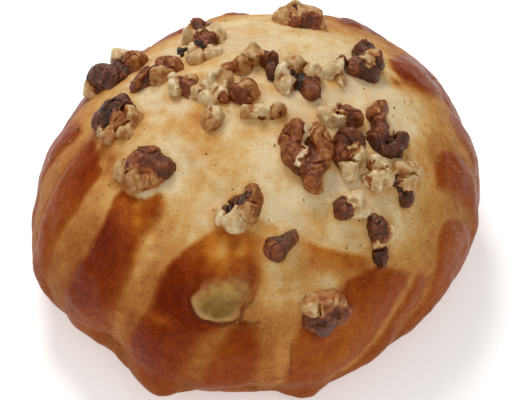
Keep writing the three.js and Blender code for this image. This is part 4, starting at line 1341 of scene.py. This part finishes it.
class LoafLook(bpy.types.PropertyGroup):
    """Sizes and colours of the loaf."""

    dimple_height: FloatProperty(
        name="Dimple height", description="Height of broad unevenness", default=2.6 * MM, unit="LENGTH")
    dimple_size: FloatProperty(
        name="Dimple size", description="Width of broad unevenness", default=12 * MM, unit="LENGTH")
    blister_height: FloatProperty(
        name="Blister height", description="Height of small blisters", default=0.12 * MM, unit="LENGTH")
    blister_size: FloatProperty(
        name="Blister size", description="Width of small blisters", default=2.6 * MM, unit="LENGTH")
    collar: FloatProperty(
        name="Collar", description="Rise of the dough round a kernel", default=0.5 * MM, unit="LENGTH")
    clouds: FloatProperty(name="Clouds", description="Change of toast by broad clouds", default=0.24)
    freckles: FloatProperty(name="Freckles", description="Change of toast by freckles", default=0.26)
    grain: FloatProperty(name="Grain", description="Strength of the fine grain of the browning", default=0.36)
    bloom: FloatVectorProperty(
        name="Bloom", description="Floury bloom of the crown", default=srgb(224, 202, 168), size=3,
        subtype="COLOR")
    bloom_share: FloatProperty(name="Bloom share", description="Strength of the floury bloom", default=0.6)
    # Lit and shaded copies of the blister's skin: its lower middle is painted darker as shade.
    pocket_lit: FloatVectorProperty(
        name="Pocket", description="Blister's paler skin", default=srgb(186, 146, 82), size=3,
        subtype="COLOR")
    pocket_shaded: FloatVectorProperty(
        name="Pocket shade", description="Blister's darker skin", default=srgb(132, 94, 40), size=3,
        subtype="COLOR")
    lip: FloatVectorProperty(
        name="Lip", description="Blister's lower lip", default=srgb(206, 168, 104), size=3, subtype="COLOR")
    # Colour of the shade painted into creases.
    seam: FloatVectorProperty(
        name="Seam", description="Creases", default=srgb(84, 28, 8), size=3, subtype="COLOR")


class KernelLook(bpy.types.PropertyGroup):
    """Sizes of the walnut kernels."""

    grain: FloatProperty(
        name="Grain", description="Spacing of a kernel's points", default=0.32 * MM, unit="LENGTH")
    root: FloatProperty(
        name="Root", description="How far a kernel reaches into the crust", default=2.4 * MM, unit="LENGTH")
    gap: FloatProperty(
        name="Gap", description="Gap between touching kernels", default=0.1 * MM, unit="LENGTH")
    fold_depth: FloatProperty(
        name="Fold depth", description="Depth of the skin's folds", default=0.45 * MM, unit="LENGTH")
    wrinkle_size: FloatProperty(
        name="Wrinkle size", description="Spacing of fine wrinkles", default=2.0 * MM, unit="LENGTH")
    wrinkle_depth: FloatProperty(
        name="Wrinkle depth", description="Depth of fine wrinkles", default=0.13 * MM, unit="LENGTH")
    grit_size: FloatProperty(
        name="Grit size", description="Width of fine roughness", default=1.1 * MM, unit="LENGTH")
    grit_height: FloatProperty(
        name="Grit height", description="Height of fine roughness", default=0.1 * MM, unit="LENGTH")


class CrumbLook(bpy.types.PropertyGroup):
    """Numbers and sizes of the crumbs."""

    pale_count: IntProperty(name="Pale crumbs", description="Number of pale crumbs", default=130)
    dark_count: IntProperty(name="Dark crumbs", description="Number of dark specks", default=44)
    # Number of tiny pale grains that paint glints.
    glint_count: IntProperty(name="Glint grains", description="Number of tiny pale grains", default=260)
    grain: FloatProperty(
        name="Grain", description="Width of a crumb's unevenness", default=0.6 * MM, unit="LENGTH")
    roughness: FloatProperty(name="Roughness", description="Unevenness of a crumb", default=0.6)


class StageLook(bpy.types.PropertyGroup):
    """Camera, light and floor."""

    elevation: FloatProperty(
        name="Elevation", description="Camera above the table", default=math.radians(46), subtype="ANGLE")
    distance: FloatProperty(
        name="Distance", description="Camera to the loaf", default=0.45, unit="LENGTH")
    lens: FloatProperty(
        name="Lens", description="Focal length in millimetres", default=108.8)
    target: FloatVectorProperty(
        name="Target", description="Point that the camera faces", size=3, subtype="TRANSLATION",
        default=(-0.0008, -0.0060, 0.0239))
    key_power: FloatProperty(
        name="Key light", description="Power of the large light behind the loaf", default=2.65, unit="POWER")
    fill_power: FloatProperty(
        name="Side light", description="Power of the light at the left", default=0.5, unit="POWER")
    sky: FloatProperty(
        name="Sky", description="Strength of the even light", default=0.32)
    front_power: FloatProperty(
        name="Front light", description="Power of the light before the loaf", default=1.3, unit="POWER")
    floor: FloatVectorProperty(
        name="Floor", description="Floor colour", default=(0.9, 0.9, 0.9), size=3, subtype="COLOR")
    floor_glow: FloatProperty(
        name="Floor glow", description="Light of the floor itself", default=0.42)


class BREAD_OT_loaf(bpy.types.Operator):
    """Makes the loaf's skin over its solid"""

    bl_idname = "bread.loaf"
    bl_label = "Loaf"

    def execute(self, context):
        look = context.scene.bread_loaf
        azimuth, drop, faces = loaf_grid()
        relief = loaf_relief(azimuth, drop)
        points = loaf_points(azimuth, drop, relief)
        axis = loaf_axis(points)
        points[:, :2] += axis
        gap = np.maximum(kernel_distance(points, axis) - COLLAR_START, 0.0)
        near = np.exp(-(gap / COLLAR_WIDTH) ** 2)
        near[drop > COLLAR_END] = 0.0
        toast, tongues = loaf_toast(azimuth, drop)
        mesh = bpy.data.meshes.new("loaf_skin")
        mesh.from_pydata((points * MM).tolist(), [], faces)
        set_numbers(mesh, {
            "azimuth": azimuth, "drop": drop, "relief": relief * MM + look.collar * near,
            "free": 1 - smoothstep(drop, 1.6, 1.95), "floured": 1 - smoothstep(drop, 0.42, 0.6),
            # Toast is raised round each kernel's foot as painted shade.
            "toast": toast + COLLAR_SHADE * near, "tongue": tongues, "near": near,
            **pocket_marks(azimuth, drop, points)})
        skin = new_piece("loaf_skin", mesh)
        apply_tree(skin, loaf_skin_tree(), {
            "Mean Radius": MEAN_RADIUS * MM, "Oval Share": OVAL_SHARE,
            "Oval Azimuth": math.radians(OVAL_AZIMUTH), "Loaf Height": LOAF_HEIGHT * MM,
            "Belt Height": BELT_HEIGHT * MM, "Foot Share": FOOT_SHARE,
            "Axis": (axis[0] * MM, axis[1] * MM, 0.0),
            "Dimple Height": look.dimple_height, "Dimple Size": look.dimple_size,
            "Blister Height": look.blister_height, "Blister Size": look.blister_size,
            "Seed": SKIN_SEED, "Material": crust_material(look)})
        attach(skin, "root")
        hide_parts("loaf")
        return {"FINISHED"}


class BREAD_OT_kernels(bpy.types.Operator):
    """Makes the walnut kernels over their solids"""

    bl_idname = "bread.kernels"
    bl_label = "Walnut kernels"

    def execute(self, context):
        look = context.scene.bread_kernels
        walnut = kernel_group()
        materials = {slot: kernel_material(name, walnut) for slot, name in TONES.items()}
        slots = {part["node"]: part["material_slot"] for part in frame["record"]["subparts"]}
        azimuth, drop, _ = loaf_grid()
        axis = loaf_axis(loaf_points(azimuth, drop, loaf_relief(azimuth, drop)))
        grit = kernel_grit_tree()
        names = sorted(name for name in frame["nodes"] if name.startswith("walnut"))
        for number, name in enumerate(names):
            piece = new_piece(name + "_kernel", kernel_mesh(number, axis, look))
            soften = piece.modifiers.new("Soften", "SMOOTH")
            soften.factor = SOFTEN_FACTOR
            soften.iterations = SOFTEN_ROUNDS
            apply_tree(piece, grit, {
                "Wrinkle Size": look.wrinkle_size, "Wrinkle Depth": look.wrinkle_depth,
                "Grit Size": look.grit_size, "Grit Height": look.grit_height,
                "Seed": GRIT_SEED_STEP * number, "Material": materials[slots[name]]})
            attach(piece, "root")
            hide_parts(name)
        return {"FINISHED"}


class BREAD_OT_crumbs(bpy.types.Operator):
    """Strews crumbs and burnt specks over the crust"""

    bl_idname = "bread.crumbs"
    bl_label = "Crumbs"

    def execute(self, context):
        look = context.scene.bread_crumbs
        crust = bpy.data.objects["loaf_skin"].data
        points = numbers_of(crust.vertices, "co", 3)
        normals = numbers_of(crust.vertices, "normal", 3)
        azimuth, drop, near = (
            numbers_of(crust.attributes[name].data, "value", 1)[:, 0] for name in ("azimuth", "drop", "near"))
        maker = np.random.default_rng(STREWING_SEED)
        spread = np.sin(np.radians(90 * np.minimum(drop, 1.0)))
        crown = spread * (1 - smoothstep(drop, 0.5, 0.8))
        gathered = np.exp(-(turn_between(GLINT_PLACE[0], azimuth) / GLINT_REACH[0]) ** 2
                          - ((drop - GLINT_PLACE[1]) / GLINT_REACH[1]) ** 2)
        tree = crumb_tree()

        def strewn(weight, count, sizes):
            chosen = maker.choice(len(points), count, replace=False, p=weight / weight.sum())
            return chosen, sizes[0] + (sizes[1] - sizes[0]) * maker.random(len(chosen)) ** 2

        pale, pale_size = strewn(crown * (OPEN_CRUMBS + near), look.pale_count, CRUMB_SIZES)
        # Tiny pale grains stand for painted glints on the crust.
        grains, glint_size = strewn(spread * gathered + CROWN_GLINTS * crown, look.glint_count, SPECK_SIZES)
        specks, speck_size = strewn(crown, look.dark_count, SPECK_SIZES)
        named = [np.argmin(np.hypot(turn_between(place[0], azimuth) * spread / 90, drop - place[1]))
                 for place in BURNT_CRUMBS]
        dark = np.concatenate((specks, named))
        dark_size = np.concatenate((speck_size, [place[2] for place in BURNT_CRUMBS]))
        light = np.concatenate((pale, grains))
        light_size = np.concatenate((pale_size, glint_size))
        # The pale piece holds real pale crumbs and the grains that paint glints.
        for name, slot, chosen, size, roast in (
                ("pale_crumbs", "walnut_pale", light, light_size, PALE_ROAST),
                ("burnt_crumbs", "walnut_dark", dark, dark_size, BURNT_ROAST)):
            mesh = bpy.data.meshes.new(name)
            rise = normals[chosen] * size[:, None] * CRUMB_RISE * MM
            mesh.from_pydata((points[chosen] + rise).tolist(), [], [])
            set_numbers(mesh, {"size": size * MM, "roast": maker.uniform(*roast, len(chosen))})
            piece = new_piece(name, mesh)
            apply_tree(piece, tree, {
                "Roughness": look.roughness, "Grain Size": look.grain, "Seed": CRUMB_SEED,
                "Material": bpy.data.materials[TONES[slot]]})
            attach(piece, "root")
        return {"FINISHED"}


class BREAD_OT_stage(bpy.types.Operator):
    """Sets up the floor, the lights and the camera"""

    bl_idname = "bread.stage"
    bl_label = "Stage"

    def execute(self, context):
        scene = context.scene
        look = scene.bread_stage
        mesh = bpy.data.meshes.new("table")
        corners = [(x * TABLE_HALF, y * TABLE_HALF, 0) for x, y in ((-1, -1), (1, -1), (1, 1), (-1, 1))]
        mesh.from_pydata(corners, [], [(0, 1, 2, 3)])
        table = new_piece("table", mesh)
        material, wires, shader = new_material("pale table")
        wires.feed_all(shader, {
            "Base Color": rgba(look.floor), "Roughness": TABLE_ROUGHNESS,
            "Emission Color": rgba(look.floor), "Emission Strength": look.floor_glow})
        mesh.materials.append(material)
        world = bpy.data.worlds.new("even light")
        world.use_nodes = True
        back = world.node_tree.nodes["Background"]
        back.inputs["Color"].default_value = SKY_COLOUR
        back.inputs["Strength"].default_value = look.sky
        scene.world = world
        key, fill, front = (
            soft_light(name, place, size, getattr(look, power)) for name, place, size, power in LIGHTS)
        camera = bpy.data.objects.new("camera", bpy.data.cameras.new("camera"))
        scene.collection.objects.link(camera)
        back_way = Vector((0.0, -math.cos(look.elevation), math.sin(look.elevation)))
        up_way = Vector((0.0, math.sin(look.elevation), math.cos(look.elevation)))
        facing = Matrix(((1.0, 0.0, 0.0), up_way, back_way)).transposed().to_4x4()
        facing.translation = Vector(look.target) + back_way * look.distance
        camera.matrix_world = facing
        camera.data.sensor_width = SENSOR_WIDTH
        camera.data.lens = look.lens
        camera.data.clip_start = NEAREST_SEEN
        scene.camera = camera
        scene.view_settings.view_transform = "Standard"
        return {"FINISHED"}


def soft_light(name, place, size, power):
    """Square soft light that faces the loaf."""
    data = bpy.data.lights.new(name, "AREA")
    data.size = size
    data.energy = power
    lamp = bpy.data.objects.new(name, data)
    lamp.location = place
    aim = Vector(place) - Vector(LIT_PLACE)
    lamp.rotation_euler = aim.to_track_quat("Z", "Y").to_euler()
    bpy.context.scene.collection.objects.link(lamp)
    return lamp


class BREAD_PT_panel(bpy.types.Panel):
    """Lists the bread's pieces"""

    bl_idname = "BREAD_PT_panel"
    bl_label = "Raisin nut bread"
    bl_space_type = "VIEW_3D"
    bl_region_type = "UI"
    bl_category = "Bread"

    def draw(self, context):
        layout = self.layout
        for operator in OPERATORS:
            layout.operator(operator.bl_idname)
        for label, settings in (("Loaf", context.scene.bread_loaf),
                                ("Kernels", context.scene.bread_kernels),
                                ("Crumbs", context.scene.bread_crumbs),
                                ("Stage", context.scene.bread_stage)):
            box = layout.box()
            box.label(text=label)
            for name in settings.__annotations__:
                box.prop(settings, name)


OPERATORS = (BREAD_OT_loaf, BREAD_OT_kernels, BREAD_OT_crumbs, BREAD_OT_stage)
CLASSES = (LoafLook, KernelLook, CrumbLook, StageLook, *OPERATORS, BREAD_PT_panel)


def register():
    """Makes the classes and settings known."""
    for item in CLASSES:
        bpy.utils.register_class(item)
    bpy.types.Scene.bread_loaf = PointerProperty(type=LoafLook)
    bpy.types.Scene.bread_kernels = PointerProperty(type=KernelLook)
    bpy.types.Scene.bread_crumbs = PointerProperty(type=CrumbLook)
    bpy.types.Scene.bread_stage = PointerProperty(type=StageLook)


def unregister():
    """Takes the settings and classes away again."""
    del bpy.types.Scene.bread_stage
    del bpy.types.Scene.bread_crumbs
    del bpy.types.Scene.bread_kernels
    del bpy.types.Scene.bread_loaf
    for item in reversed(CLASSES):
        bpy.utils.unregister_class(item)


def main():
    """Makes the bread and its stage."""
    register()
    bpy.ops.bread.loaf()
    bpy.ops.bread.kernels()
    bpy.ops.bread.crumbs()
    bpy.ops.bread.stage()


if __name__ == "__main__":
    main()
